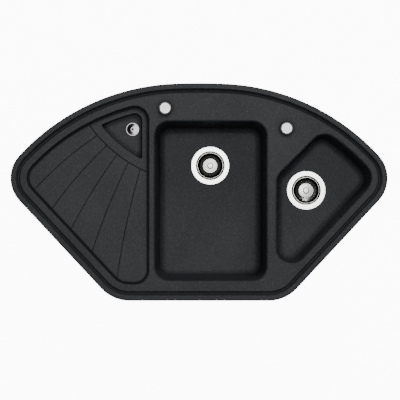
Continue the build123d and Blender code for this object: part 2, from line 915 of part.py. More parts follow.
def make_lift_lever(bowl, frame):
    """Shaft with a finger under the pin's foot and a crank outside the chamber."""
    shaft = shaft_plane(frame)
    slope = radians(lever_angle)
    with BuildPart() as lift_lever:
        ring(shaft, 0, lever_shaft_radius, -lever_width / 2, crank_x + crank_thickness)
        with BuildSketch(shaft.offset(-lever_width / 2)):
            with Locations((-lever_arm / 2 * cos(slope), -lever_arm / 2 * sin(slope))):
                SlotCenterToCenter(lever_arm, lever_finger_thickness, lever_angle)
            with Locations((-lever_arm * cos(slope), -lever_arm * sin(slope))):
                Circle(lever_thickness / 2)
            Circle(lever_shaft_radius + lever_thickness / 2)
        extrude(amount=lever_width)
        with BuildSketch(shaft.offset(crank_x)):
            with Locations((crank_length / 2 * cos(slope), crank_length / 2 * sin(slope))):
                SlotCenterToCenter(crank_length, 2 * lever_thickness, lever_angle)
            with Locations((crank_length * cos(slope), crank_length * sin(slope))):
                Circle(lever_thickness / 2, mode=Mode.SUBTRACT)
        extrude(amount=crank_thickness)
    lift_lever.part.label = f"{bowl}_lift_lever"
    export_step(lift_lever.part, f"parts/{bowl}_lift_lever.step")


def make_basket(bowl, frame):
    """Pressed strainer basket with a rolled lip and two rings of holes."""
    with BuildPart() as basket:
        pressed(
            frame,
            basket_sheet,
            [
                (basket_rim_radius, -basket_top - basket_lip_height),
                (basket_rim_radius, -basket_top),
                (basket_mouth_radius, -basket_top),
                (basket_shoulder_radius, basket_shoulder),
                (basket_floor_radius, basket_floor),
                (stem_radius, basket_floor),
            ],
            [basket_lip_radius, basket_lip_radius, basket_bend_radius, basket_bend_radius],
        )
        for row, circle in enumerate(basket_hole_circles):
            with BuildSketch(frame.offset(basket_shoulder + basket_sheet)):
                with PolarLocations(circle, basket_hole_count, start_angle=row * 180 / basket_hole_count):
                    Circle(basket_hole_radius)
            extrude(amount=-2 * basket_shoulder_height, mode=Mode.SUBTRACT)
    basket.part.label = f"{bowl}_basket"
    export_step(basket.part, f"parts/{bowl}_basket.step")


def make_basket_knob(bowl, frame):
    """Domed hub with a finger knob, on a stem that is riveted over the seal plate."""
    ring_bottom = basket_floor + knob_stand
    ring_top = ring_bottom + knob_ring_height
    dome_foot = (hub_radius, basket_floor + hub_edge_height)
    dome_top = (knob_neck_radius, basket_floor + hub_height)
    dome_middle = ((hub_radius + knob_neck_radius) / 2, basket_floor + hub_height - hub_edge_height / 2)
    with BuildPart() as basket_knob:
        with BuildSketch(Plane(origin=frame.origin, x_dir=frame.x_dir, z_dir=-frame.y_dir)):
            with BuildLine():
                ThreePointArc(dome_foot, dome_middle, dome_top)
                Polyline(
                    dome_top,
                    (knob_neck_radius, ring_bottom),
                    (knob_ring_radius, ring_bottom),
                    (knob_ring_radius, ring_top - hub_edge_height),
                    (knob_top_radius, ring_top),
                    (0, ring_top),
                    (0, plate_underside),
                    (stem_radius, plate_underside),
                    (stem_radius, basket_floor),
                    (hub_radius, basket_floor),
                    dome_foot,
                )
            make_face()
        revolve(axis=Axis(frame.origin, frame.z_dir))
    basket_knob.part.label = f"{bowl}_basket_knob"
    export_step(basket_knob.part, f"parts/{bowl}_basket_knob.step")


def make_basket_seal(bowl, frame):
    """Plate under the basket and the rubber ring that closes the waste."""
    with BuildPart() as seal_plate:
        ring(frame, stem_radius, seal_plate_radius, plate_underside, basket_underside)
    seal_plate.part.label = f"{bowl}_seal_plate"
    export_step(seal_plate.part, f"parts/{bowl}_seal_plate.step")

    with BuildPart() as basket_seal:
        ring(
            frame,
            basket_seal_inner_radius,
            basket_seal_radius,
            plate_underside - basket_seal_thickness,
            plate_underside,
        )
    basket_seal.part.label = f"{bowl}_basket_seal"
    export_step(basket_seal.part, f"parts/{bowl}_basket_seal.step")


for bowl, frame in wastes.items():
    make_flange(bowl, frame)
    make_waste_seals(bowl, frame)
    make_waste_body(bowl, frame)
    make_cable_clip(bowl, frame)
    make_clamp_screw(bowl, frame)
    make_lift_pin(bowl, frame)
    make_lift_lever(bowl, frame)
    make_basket(bowl, frame)
    make_basket_knob(bowl, frame)
    make_basket_seal(bowl, frame)

# ---------------------------------------------------------------- unions

# A union's frame stands in the mouth of its socket and points out of it.


def union_seal(frame, pipe, socket):
    """Sealing ring between the pipe and the mouth of its socket."""
    ring(frame, pipe, socket, 0, union_seal_length)


def union_nut(frame, pipe, socket):
    """Ribbed nut over the socket, with a lip that presses the seal."""
    bore = socket + thread
    outside = socket + union_nut_wall
    turned(
        frame,
        (bore, union_seal_length - union_nut_length),
        (outside, union_seal_length - union_nut_length),
        (outside, union_seal_length + union_lip),
        (pipe + gap, union_seal_length + union_lip),
        (pipe + gap, union_seal_length),
        (bore, union_seal_length),
    )
    with BuildSketch(frame.offset(union_seal_length - union_nut_length)) as ribs:
        with PolarLocations(outside, union_rib_count):
            Circle(union_lip / 2)
    extrude(ribs.sketch, amount=union_nut_length)


outlet_frames = [
    Plane(origin=frame.from_local_coords(Vector(0, 0, outlet_mouth)), x_dir=(1, 0, 0), z_dir=(0, 0, -1))
    for frame in wastes.values()
]

with BuildPart() as outlet_seals:
    for frame in outlet_frames:
        union_seal(frame, pipe_radius, socket_radius)

outlet_seals.part.label = "outlet_seals"
export_step(outlet_seals.part, "parts/outlet_seals.step")

with BuildPart() as outlet_nuts:
    for frame in outlet_frames:
        union_nut(frame, pipe_radius, socket_radius)

outlet_nuts.part.label = "outlet_nuts"
export_step(outlet_nuts.part, "parts/outlet_nuts.step")

# ---------------------------------------------------------------- pipes between the wastes

pipe_bore = pipe_radius - pipe_wall
socket_depth = union_insertion + union_end_gap
tee_z = main_floor_z + outlet_mouth - tee_drop
link_run = Vector(corner_drain.X - main_drain.X, corner_drain.Y - main_drain.Y)
link_rise = link_run.length * tan(radians(link_fall))
tee_center = Vector(main_drain.X, main_drain.Y, tee_z)
elbow_corner = Vector(corner_drain.X, corner_drain.Y, tee_z + link_rise)
link_direction = (elbow_corner - tee_center).normalized()
tee_mouth = Plane(
    origin=tee_center + link_direction * (pipe_radius + tee_branch_length),
    x_dir=(-link_direction.Y, link_direction.X, 0),
    z_dir=link_direction,
)
elbow_mouth = Plane(
    origin=elbow_corner - link_direction * elbow_arm,
    x_dir=(-link_direction.Y, link_direction.X, 0),
    z_dir=-link_direction,
)

# Vertical pipe under the main waste, thicker in the middle, with a socket for the link and a plain
# end for a trap.
with BuildPart() as tee:
    main_frame = wastes["main"]
    tee_top = outlet_mouth + union_insertion
    tee_middle = outlet_mouth - tee_drop
    tee_bottom = tee_middle - tee_outlet_length
    ring(main_frame, 0, pipe_radius, tee_bottom, tee_top)
    ring(main_frame, 0, tee_body_radius, tee_middle - tee_body_length / 2, tee_middle + tee_body_length / 2)
    ring(tee_mouth, 0, socket_radius, -tee_branch_length - pipe_radius, 0)
    ring(tee_mouth, 0, socket_bore, -socket_depth, gap, mode=Mode.SUBTRACT)
    ring(tee_mouth, 0, pipe_bore, -tee_branch_length - pipe_radius, -socket_depth, mode=Mode.SUBTRACT)
    ring(main_frame, 0, pipe_bore, tee_bottom - gap, tee_top + gap, mode=Mode.SUBTRACT)

tee.part.label = "tee"
export_step(tee.part, "parts/tee.step")

# Straight pipe that pushes into the tee and the elbow.
with BuildPart() as link_pipe:
    link_length = (elbow_mouth.origin - tee_mouth.origin).length
    ring(tee_mouth, pipe_bore, pipe_radius, -union_insertion, link_length + union_insertion)

link_pipe.part.label = "link_pipe"
export_step(link_pipe.part, "parts/link_pipe.step")

# Swept bend under the corner waste, with a socket at its end.
with BuildPart() as corner_elbow:
    elbow_top = wastes["corner"].from_local_coords(Vector(0, 0, outlet_mouth + union_insertion))
    with BuildLine() as elbow_path:
        FilletPolyline(
            elbow_top,
            elbow_corner,
            elbow_mouth.from_local_coords(Vector(0, 0, -socket_depth)),
            radius=elbow_bend_radius,
        )
    with BuildSketch(Plane(origin=elbow_path.line @ 0, z_dir=elbow_path.line % 0)):
        Circle(pipe_radius)
        Circle(pipe_bore, mode=Mode.SUBTRACT)
    sweep(path=elbow_path.line)
    turned(
        elbow_mouth,
        (pipe_bore, -socket_depth - union_lip),
        (socket_radius, -socket_depth - union_lip),
        (socket_radius, 0),
        (socket_bore, 0),
        (socket_bore, -socket_depth),
        (pipe_bore, -socket_depth),
    )

corner_elbow.part.label = "corner_elbow"
export_step(corner_elbow.part, "parts/corner_elbow.step")

# ---------------------------------------------------------------- overflow in the tray

overflow = upright(rosette_place)
overflow_top = -wall - overflow_seal_thickness
overflow_shoulder = overflow_top - overflow_flange_height
overflow_chamber_floor = overflow_top - overflow_chamber_depth
overflow_neck = overflow_chamber_floor - overflow_wall - (overflow_chamber_radius - small_socket_bore)
overflow_mouth = overflow_neck - overflow_spigot_length
screw_seat = rosette_thickness + rosette_dome

# Slotted cover of the overflow, lying on the tray's floor.
with BuildPart() as overflow_rosette:
    turned(
        overflow,
        (rosette_screw_radius + thread, 0),
        (rosette_radius, 0),
        (rosette_radius, rosette_thickness / 2),
        (rosette_radius - rosette_thickness / 2, rosette_thickness),
        (rosette_radius - rosette_rim_width, rosette_thickness),
        (rosette_radius - rosette_rim_width, rosette_thickness / 2),
        (rosette_screw_head_radius + rosette_thickness, screw_seat),
        (rosette_screw_radius + thread, screw_seat),
    )
    with BuildSketch(overflow.offset(-gap)):
        for circle, count in zip(rosette_slot_circles, rosette_slot_counts):
            slot_span = 360 / count - degrees((rosette_bridge + rosette_slot_width) / circle)
            for slot in range(count):
                SlotArc(
                    CenterArc((0, 0), circle, slot * 360 / count + 90 - slot_span / 2, slot_span),
                    rosette_slot_width,
                )
    extrude(amount=2 * rosette_thickness, mode=Mode.SUBTRACT)

overflow_rosette.part.label = "overflow_rosette"
export_step(overflow_rosette.part, "parts/overflow_rosette.step")

# Screw that pulls the rosette and the body under the tray together.
with BuildPart() as overflow_screw:
    turned(
        overflow,
        (0, screw_seat + rosette_screw_head_height),
        (rosette_screw_head_radius, screw_seat + rosette_screw_head_height / 2),
        (rosette_screw_head_radius, screw_seat),
        (rosette_screw_radius, screw_seat),
        (rosette_screw_radius, screw_seat - rosette_screw_length),
        (0, screw_seat - rosette_screw_length),
    )

overflow_screw.part.label = "overflow_screw"
export_step(overflow_screw.part, "parts/overflow_screw.step")

with BuildPart() as overflow_seal:
    ring(overflow, overflow_hole_radius, overflow_flange_radius, overflow_top, -wall)

overflow_seal.part.label = "overflow_seal"
export_step(overflow_seal.part, "parts/overflow_seal.step")

# Moulded body under the tray, with arms for the screw and a threaded spigot.
with BuildPart() as overflow_body:
    turned(
        overflow,
        (overflow_chamber_radius, overflow_top),
        (overflow_flange_radius, overflow_top),
        (overflow_flange_radius, overflow_shoulder),
        (overflow_chamber_radius + overflow_wall, overflow_shoulder),
        (overflow_chamber_radius + overflow_wall, overflow_chamber_floor),
        (small_socket_radius, overflow_neck),
        (small_socket_radius, overflow_mouth),
        (small_socket_bore, overflow_mouth),
        (small_socket_bore, overflow_neck),
        (overflow_chamber_radius, overflow_chamber_floor),
    )
    with BuildSketch(overflow.offset(overflow_chamber_floor)):
        with PolarLocations(0, hub_arm_count):
            with Locations((overflow_chamber_radius / 2, 0)):
                Rectangle(overflow_chamber_radius + overflow_wall, overflow_wall)
        Circle(overflow_hub_radius)
        Circle(rosette_screw_radius + thread, mode=Mode.SUBTRACT)
    extrude(amount=overflow_chamber_depth / 2)

overflow_body.part.label = "overflow_body"
export_step(overflow_body.part, "parts/overflow_body.step")

# Bent pipe from the tray down under the main bowl to the waste chamber.
overflow_end = inlet_frame.from_local_coords(Vector(0, 0, inlet_mouth - union_insertion))
overflow_start = overflow.from_local_coords(Vector(0, 0, overflow_mouth + union_insertion))
with BuildPart() as overflow_pipe:
    with BuildLine() as overflow_path:
        FilletPolyline(
            overflow_start, (rosette_x, rosette_y, inlet_z), overflow_end, radius=overflow_bend_radius
        )
    with BuildSketch(Plane(origin=overflow_path.line @ 0, z_dir=overflow_path.line % 0)):
        Circle(small_pipe_radius)
        Circle(small_pipe_radius - small_pipe_wall, mode=Mode.SUBTRACT)
    sweep(path=overflow_path.line)

overflow_pipe.part.label = "overflow_pipe"
export_step(overflow_pipe.part, "parts/overflow_pipe.step")

# Unions of the link pipe and of the overflow pipe.
spigot_end = overflow.from_local_coords(Vector(0, 0, overflow_mouth))
spigot_frame = Plane(origin=spigot_end, x_dir=(1, 0, 0), z_dir=(0, 0, -1))
pipe_unions = [
    (tee_mouth, pipe_radius, socket_radius),
    (elbow_mouth, pipe_radius, socket_radius),
    (inlet_frame.offset(inlet_mouth), small_pipe_radius, small_socket_radius),
    (spigot_frame, small_pipe_radius, small_socket_radius),
]

with BuildPart() as pipe_seals:
    for frame, pipe, socket in pipe_unions:
        union_seal(frame, pipe, socket)

pipe_seals.part.label = "pipe_seals"
export_step(pipe_seals.part, "parts/pipe_seals.step")

with BuildPart() as pipe_nuts:
    for frame, pipe, socket in pipe_unions:
        union_nut(frame, pipe, socket)

pipe_nuts.part.label = "pipe_nuts"
export_step(pipe_nuts.part, "parts/pipe_nuts.step")

# ---------------------------------------------------------------- turning controls

controls = {"main": upright(main_control), "corner": upright(corner_control)}

# Heights in a control, counted from the top of the deck.
bezel_top = control_seal_thickness + bezel_height
knob_underside = bezel_top + gap
knob_top = knob_underside + control_knob_height
washer_bottom = -deck_thickness - control_washer_thickness
nut_bottom = washer_bottom - control_nut_height
box_bottom = -box_top - box_height
lid_bottom = box_bottom - box_wall
drum_middle = -box_top - box_height / 2


def make_knob(bowl, frame):
    """Bevelled disc on a long spindle."""
    with BuildPart() as knob:
        turned(
            frame,
            (0, lid_bottom),
            (spindle_radius, lid_bottom),
            (spindle_radius, knob_underside),
            (control_knob_radius, knob_underside),
            (control_knob_radius, knob_top - control_knob_bevel_height),
            (control_knob_radius - control_knob_bevel, knob_top),
            (0, knob_top),
        )
    knob.part.label = f"{bowl}_knob"
    export_step(knob.part, f"parts/{bowl}_knob.step")


def make_knob_base(bowl, frame):
    """Bezel with a threaded stem that goes down through the deck."""
    bore = spindle_radius + running
    with BuildPart() as knob_base:
        turned(
            frame,
            (bore, -control_stem_length),
            (control_stem_radius, -control_stem_length),
            (control_stem_radius, control_seal_thickness),
            (bezel_radius, control_seal_thickness),
            (bezel_radius, bezel_top - bezel_height / 2),
            (bezel_radius - bezel_height / 2, bezel_top),
            (bore, bezel_top),
        )
    knob_base.part.label = f"{bowl}_knob_base"
    export_step(knob_base.part, f"parts/{bowl}_knob_base.step")


def make_cable_drum(bowl, frame):
    """Grooved drum on the spindle, which winds the cable's wire."""
    half = drum_height / 2
    lip = half - (drum_radius - drum_groove_radius)
    with BuildPart() as cable_drum:
        turned(
            frame,
            (spindle_radius, drum_middle - half),
            (drum_radius, drum_middle - half),
            (drum_radius, drum_middle - lip),
            (drum_groove_radius, drum_middle - lip / 2),
            (drum_groove_radius, drum_middle + lip / 2),
            (drum_radius, drum_middle + lip),
            (drum_radius, drum_middle + half),
            (spindle_radius, drum_middle + half),
        )
    cable_drum.part.label = f"{bowl}_cable_drum"
    export_step(cable_drum.part, f"parts/{bowl}_cable_drum.step")


def make_cable_box(bowl, frame):
    """Housing on the stem's end, with a gland for the cable and a lid with the spindle's bearing."""
    gland_start = sqrt(box_radius**2 - drum_groove_radius**2) - box_wall
    gland = Plane(
        origin=frame.from_local_coords(Vector(0, -drum_groove_radius, drum_middle)),
        x_dir=(0, 1, 0),
        z_dir=(1, 0, 0),
    )
    with BuildPart() as cable_box:
        turned(
            frame,
            (control_stem_radius + thread, -box_top),
            (box_radius, -box_top),
            (box_radius, box_bottom),
            (box_radius - box_wall, box_bottom),
            (box_radius - box_wall, -box_top - box_wall),
            (control_stem_radius + thread, -box_top - box_wall),
        )
        ring(gland, 0, gland_radius, gland_start, gland_start + gland_length)
        ring(gland, 0, cable_radius, 0, gland_start + 2 * gland_length, mode=Mode.SUBTRACT)
    cable_box.part.label = f"{bowl}_cable_box"
    export_step(cable_box.part, f"parts/{bowl}_cable_box.step")

    with BuildPart() as box_lid:
        ring(frame, spindle_radius + running, box_radius, lid_bottom, box_bottom)
    box_lid.part.label = f"{bowl}_box_lid"
    export_step(box_lid.part, f"parts/{bowl}_box_lid.step")


for bowl, frame in controls.items():
    make_knob(bowl, frame)
    make_knob_base(bowl, frame)
    make_cable_drum(bowl, frame)
    make_cable_box(bowl, frame)

# What holds both bases in the deck: a seal above it, a washer and a six-sided nut below it.
with BuildPart() as knob_seals:
    for frame in controls.values():
        ring(frame, control_hole_radius, bezel_radius - bezel_height / 2, 0, control_seal_thickness)

knob_seals.part.label = "knob_seals"
export_step(knob_seals.part, "parts/knob_seals.step")

with BuildPart() as knob_washers:
    for frame in controls.values():
        ring(frame, control_hole_radius, control_washer_radius, washer_bottom, -deck_thickness)

knob_washers.part.label = "knob_washers"
export_step(knob_washers.part, "parts/knob_washers.step")

with BuildPart() as knob_nuts:
    for frame in controls.values():
        with BuildSketch(frame.offset(nut_bottom)):
            RegularPolygon(control_nut_radius, 6)
            Circle(control_stem_radius + thread, mode=Mode.SUBTRACT)
        extrude(amount=control_nut_height)

knob_nuts.part.label = "knob_nuts"
export_step(knob_nuts.part, "parts/knob_nuts.step")

# ---------------------------------------------------------------- fixing claws

strip_bottom = -worktop_thickness - claw_tip_height
screw_top = boss_z + claw_screw_grip
screw_head_top = strip_bottom - gap

# Each claw lies along the rim at rest and turns a quarter outwards, under the worktop.
for number, (pivot, outward) in enumerate(claws, start=1):
    along_rim = Vector(outward.Y, -outward.X)
    claw_frame = Plane(origin=(pivot.X, pivot.Y, strip_bottom), x_dir=along_rim, z_dir=(0, 0, 1))
    with BuildPart() as claw:
        with BuildSketch(claw_frame):
            with Locations(((claw_reach - claw_tail) / 2, 0)):
                Rectangle(claw_reach + claw_tail, claw_width)
            Circle(claw_screw_radius + running, mode=Mode.SUBTRACT)
        extrude(amount=claw_sheet)
        with BuildSketch(claw_frame):
            with Locations((claw_reach, 0)):
                Rectangle(claw_sheet, claw_width, align=(Align.MAX, Align.CENTER))
        extrude(amount=claw_tip_height)
    claw.part.label = f"claw_{number}"
    export_step(claw.part, f"parts/claw_{number}.step")

with BuildPart() as claw_screws:
    for x, y in claw_points:
        turned(
            upright((x, y, 0)),
            (0, screw_head_top - claw_screw_head_height),
            (claw_screw_head_radius, screw_head_top - claw_screw_head_height),
            (claw_screw_head_radius, screw_head_top),
            (claw_screw_radius, screw_head_top),
            (claw_screw_radius, screw_top),
            (0, screw_top),
        )

claw_screws.part.label = "claw_screws"
export_step(claw_screws.part, "parts/claw_screws.step")

with BuildPart() as claw_inserts:
    for x, y in claw_points:
        ring(upright((x, y, boss_z)), claw_screw_radius, insert_radius, 0, insert_length)

claw_inserts.part.label = "claw_inserts"
export_step(claw_inserts.part, "parts/claw_inserts.step")
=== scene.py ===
import json
import math

import bmesh
import bpy
from mathutils import Matrix, Vector

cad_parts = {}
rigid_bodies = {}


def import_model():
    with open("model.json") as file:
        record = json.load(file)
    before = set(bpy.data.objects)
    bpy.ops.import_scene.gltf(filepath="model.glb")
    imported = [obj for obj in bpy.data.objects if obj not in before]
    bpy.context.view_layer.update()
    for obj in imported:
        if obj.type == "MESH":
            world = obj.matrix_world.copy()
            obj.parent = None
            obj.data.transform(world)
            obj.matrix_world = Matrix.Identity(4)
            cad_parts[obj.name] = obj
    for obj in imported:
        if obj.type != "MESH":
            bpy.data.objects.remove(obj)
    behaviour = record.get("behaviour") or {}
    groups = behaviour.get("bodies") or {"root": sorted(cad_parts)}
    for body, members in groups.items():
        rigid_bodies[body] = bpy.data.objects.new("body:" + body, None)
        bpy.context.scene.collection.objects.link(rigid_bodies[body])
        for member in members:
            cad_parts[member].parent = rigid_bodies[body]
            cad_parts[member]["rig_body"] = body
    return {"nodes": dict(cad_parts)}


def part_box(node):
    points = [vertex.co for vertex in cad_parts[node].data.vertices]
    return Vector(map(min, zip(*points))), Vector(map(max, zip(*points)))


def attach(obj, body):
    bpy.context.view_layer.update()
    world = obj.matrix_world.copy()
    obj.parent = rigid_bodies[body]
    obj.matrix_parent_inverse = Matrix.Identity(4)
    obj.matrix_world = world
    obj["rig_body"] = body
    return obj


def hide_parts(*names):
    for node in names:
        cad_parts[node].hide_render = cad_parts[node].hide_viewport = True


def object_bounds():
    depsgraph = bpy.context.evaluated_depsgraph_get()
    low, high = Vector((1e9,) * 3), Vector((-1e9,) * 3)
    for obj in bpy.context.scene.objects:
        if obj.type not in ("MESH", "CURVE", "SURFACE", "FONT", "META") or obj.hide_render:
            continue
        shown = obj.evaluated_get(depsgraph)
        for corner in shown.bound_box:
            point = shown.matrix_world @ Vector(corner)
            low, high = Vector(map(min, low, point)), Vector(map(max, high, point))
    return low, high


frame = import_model()
cad_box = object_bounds()

# ---------------------------------------------------------------- the moulding
# One casting of quartz granules in acrylic resin, near black, matt, with paler grains showing.
# It is cast in a closed mould, so its skin is even all over and only the rubbed edges are smoother.


def add_node(tree, kind, sockets=None, **settings):
    """Adds a node, sets its properties, and fills its sockets with values or with other sockets."""
    node = tree.nodes.new(kind)
    for name, value in settings.items():
        setattr(node, name, value)
    for name, value in (sockets or {}).items():
        if isinstance(value, bpy.types.NodeSocket):
            tree.links.new(value, node.inputs[name])
        else:
            node.inputs[name].default_value = value
    return node


def new_group(name, kind, inputs, outputs):
    """An empty node group with its named sockets, and the identifiers of its inputs."""
    group = bpy.data.node_groups.new(name, kind)
    identifiers = {}
    for label, socket, value in inputs:
        item = group.interface.new_socket(name=label, in_out="INPUT", socket_type=socket)
        identifiers[label] = item.identifier
        if value is not None:
            item.default_value = value
    for label, socket in outputs:
        group.interface.new_socket(name=label, in_out="OUTPUT", socket_type=socket)
    return group, identifiers


def new_material(name, **constants):
    """A material with its surface shader; the constants go on the shader's own sockets."""
    material = bpy.data.materials.new(name)
    material.use_nodes = True
    shader = material.node_tree.nodes["Principled BSDF"]
    for label, value in constants.items():
        shader.inputs[label.replace("_", " ")].default_value = value
    return material, material.node_tree, shader


def relief_group():
    """Fine unevenness of a cast or moulded skin: clouds, small grain and rare flecks."""
    group, _ = new_group(
        "cast_skin",
        "ShaderNodeTree",
        [
            ("Grain per metre", "NodeSocketFloat", 900.0),
            ("Cloud per metre", "NodeSocketFloat", 14.0),
        ],
        [("Cloud", "NodeSocketFloat"), ("Grain", "NodeSocketFloat"), ("Flecks", "NodeSocketFloat")],
    )
    into = group.nodes.new("NodeGroupInput")
    out = group.nodes.new("NodeGroupOutput")
    place = add_node(group, "ShaderNodeTexCoord").outputs["Object"]
    cloud = add_node(
        group,
        "ShaderNodeTexNoise",
        {"Vector": place, "Scale": into.outputs["Cloud per metre"], "Detail": 4.0, "Roughness": 0.55},
    )
    grain = add_node(
        group,
        "ShaderNodeTexNoise",
        {"Vector": place, "Scale": into.outputs["Grain per metre"], "Detail": 2.0, "Roughness": 0.6},
    )
    cells = add_node(
        group, "ShaderNodeTexVoronoi", {"Vector": place, "Scale": into.outputs["Grain per metre"]}
    )
    shade = add_node(group, "ShaderNodeSeparateColor", {"Color": cells.outputs["Color"]})
    flecks = add_node(
        group,
        "ShaderNodeMapRange",
        {"Value": shade.outputs["Red"], "From Min": 0.78, "From Max": 1.0},
    )
    group.links.new(cloud.outputs["Fac"], out.inputs["Cloud"])
    group.links.new(grain.outputs["Fac"], out.inputs["Grain"])
    group.links.new(flecks.outputs["Result"], out.inputs["Flecks"])
    return group


cast_skin = relief_group()


def rim_group():
    """Where a surface lies in a hollow, and where it turns over an edge, both from 0 to 1."""
    group, _ = new_group(
        "hollows_and_edges",
        "ShaderNodeTree",
        [
            ("Hollow reach", "NodeSocketFloat", 0.01),
            ("Edge radius", "NodeSocketFloat", 0.0005),
        ],
        [
            ("Hollow", "NodeSocketFloat"),
            ("Edge", "NodeSocketFloat"),
            ("Rounded", "NodeSocketVector"),
        ],
    )
    into = group.nodes.new("NodeGroupInput")
    out = group.nodes.new("NodeGroupOutput")
    # The hollow mask is read from ambient occlusion; the materials use it to paint shade into hollows.
    open_sky = add_node(
        group, "ShaderNodeAmbientOcclusion", {"Distance": into.outputs["Hollow reach"]}, samples=8
    )
    hollow = add_node(
        group,
        "ShaderNodeMapRange",
        {"Value": open_sky.outputs["AO"], "From Min": 0.93, "From Max": 0.50},
    )
    rounded = add_node(
        group, "ShaderNodeBevel", {"Radius": into.outputs["Edge radius"]}, samples=4
    )
    facing = add_node(group, "ShaderNodeNewGeometry").outputs["Normal"]
    turned = add_node(
        group,
        "ShaderNodeVectorMath",
        {0: rounded.outputs["Normal"], 1: facing},
        operation="DOT_PRODUCT",
    )
    edge = add_node(
        group,
        "ShaderNodeMapRange",
        {"Value": turned.outputs["Value"], "From Min": 0.995, "From Max": 0.85},
    )
    group.links.new(hollow.outputs["Result"], out.inputs["Hollow"])
    group.links.new(edge.outputs["Result"], out.inputs["Edge"])
    group.links.new(rounded.outputs["Normal"], out.inputs["Rounded"])
    return group


hollows_and_edges = rim_group()


def use_group(tree, group, **values):
    """Places a shared effect in a material with that material's own values."""
    node = tree.nodes.new("ShaderNodeGroup")
    node.node_tree = group
    for label, value in values.items():
        socket = node.inputs[label.replace("_", " ")]
        if isinstance(value, bpy.types.NodeSocket):
            tree.links.new(value, socket)
        else:
            socket.default_value = value
    return node


def spread(tree, value, low, high):
    """Maps a value from 0..1 onto low..high."""
    return add_node(
        tree, "ShaderNodeMapRange", {"Value": value, "To Min": low, "To Max": high}
    ).outputs["Result"]


def blend_colors(tree, factor, first, second):
    """A colour between two colours."""
    mix = add_node(tree, "ShaderNodeMix", data_type="RGBA")
    for index, value in ((0, factor), (6, first), (7, second)):
        if isinstance(value, bpy.types.NodeSocket):
            tree.links.new(value, mix.inputs[index])
        else:
            mix.inputs[index].default_value = value
    return mix.outputs[2]


def blend_values(tree, factor, first, second):
    """A number between two numbers."""
    return add_node(
        tree, "ShaderNodeMix", {0: factor, 2: first, 3: second}, data_type="FLOAT"
    ).outputs[0]


def raise_surface(tree, shader, height, distance, strength=1.0, rounded=None):
    """Sends a height in 0..1 to the shader's normal; distance is its depth in metres."""
    bump = add_node(
        tree, "ShaderNodeBump", {"Height": height, "Distance": distance, "Strength": strength}
    )
    if rounded:
        tree.links.new(rounded, bump.inputs["Normal"])
    tree.links.new(bump.outputs["Normal"], shader.inputs["Normal"])


def stone_material():
    matrix = (0.0215, 0.0232, 0.0262, 1)
    grit = (0.0500, 0.0530, 0.0590, 1)
    quartz = (0.150, 0.158, 0.172, 1)
    painted_hollow_shade = (0.0155, 0.0164, 0.0182, 1)
    material, tree, shader = new_material("stone_composite", Specular_IOR_Level=0.22)
    skin = use_group(tree, cast_skin, Grain_per_metre=700.0, Cloud_per_metre=7.0)
    shape = use_group(tree, hollows_and_edges, Hollow_reach=0.018, Edge_radius=0.0008)
    tone = add_node(
        tree, "ShaderNodeMath", {0: skin.outputs["Grain"], 1: skin.outputs["Cloud"]}, operation="MULTIPLY"
    )
    base = blend_colors(tree, spread(tree, tone.outputs[0], 0.0, 2.2), matrix, grit)
    fleck = spread(tree, skin.outputs["Flecks"], 0.0, 0.5)
    speckled = blend_colors(tree, fleck, base, quartz)
    # Painted shade: in hollows the base colour is blended to a near-black.
    tree.links.new(
        blend_colors(tree, shape.outputs["Hollow"], speckled, painted_hollow_shade), shader.inputs["Base Color"]
    )
    matt = spread(tree, skin.outputs["Grain"], 0.46, 0.62)
    rough = blend_values(tree, shape.outputs["Hollow"], matt, 0.95)
    tree.links.new(blend_values(tree, shape.outputs["Edge"], rough, 0.40), shader.inputs["Roughness"])
    raise_surface(tree, shader, skin.outputs["Grain"], 0.00008, 0.5, shape.outputs["Rounded"])
    return material


def smooth_copy(node, material, sharp_degrees=28):
    """A welded copy of a CAD node whose rounded faces shade smoothly; it takes the node's place."""
    source = frame["nodes"][node]
    mesh = source.data.copy()
    if "custom_normal" in mesh.attributes:
        mesh.attributes.remove(mesh.attributes["custom_normal"])
    welding = bmesh.new()
    welding.from_mesh(mesh)
    bmesh.ops.remove_doubles(welding, verts=welding.verts, dist=2e-6)
    bmesh.ops.dissolve_degenerate(welding, dist=1e-7, edges=welding.edges)
    welding.to_mesh(mesh)
    welding.free()
    mesh.shade_smooth()
    mesh.set_sharp_from_angle(angle=math.radians(sharp_degrees))
    mesh.materials.clear()
    mesh.materials.append(material)
    piece = bpy.data.objects.new(f"{node}_surface", mesh)
    bpy.context.scene.collection.objects.link(piece)
    weighted = piece.modifiers.new("flat faces stay flat", "WEIGHTED_NORMAL")
    weighted.keep_sharp = True
    weighted.weight = 90
    plain = bpy.data.meshes.new_from_object(piece.evaluated_get(bpy.context.evaluated_depsgraph_get()))
    piece.modifiers.clear()
    piece.data = plain
    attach(piece, source["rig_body"])
    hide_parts(node)


stone = stone_material()
smooth_copy("sink_body", stone)

# ---------------------------------------------------------------- seal under the rim
# A strip of closed-cell foam, glued into the rebate under the rim, which the worktop presses.


def paint(node, material):
    """Gives a CAD node its material."""
    mesh = frame["nodes"][node].data
    mesh.materials.clear()
    mesh.materials.append(material)


def foam_material():
    material, tree, shader = new_material("foam_strip", Specular_IOR_Level=0.25)
    skin = use_group(tree, cast_skin, Grain_per_metre=1500.0, Cloud_per_metre=60.0)
    shade = blend_colors(tree, skin.outputs["Grain"], (0.035, 0.035, 0.037, 1), (0.09, 0.09, 0.095, 1))
    tree.links.new(shade, shader.inputs["Base Color"])
    tree.links.new(spread(tree, skin.outputs["Cloud"], 0.8, 0.98), shader.inputs["Roughness"])
    raise_surface(tree, shader, skin.outputs["Flecks"], 0.0003)
    return material


paint("rim_seal", foam_material())

# ---------------------------------------------------------------- rubber rings
# Moulded rings of soft black rubber, slightly dusty, squeezed between the fittings.


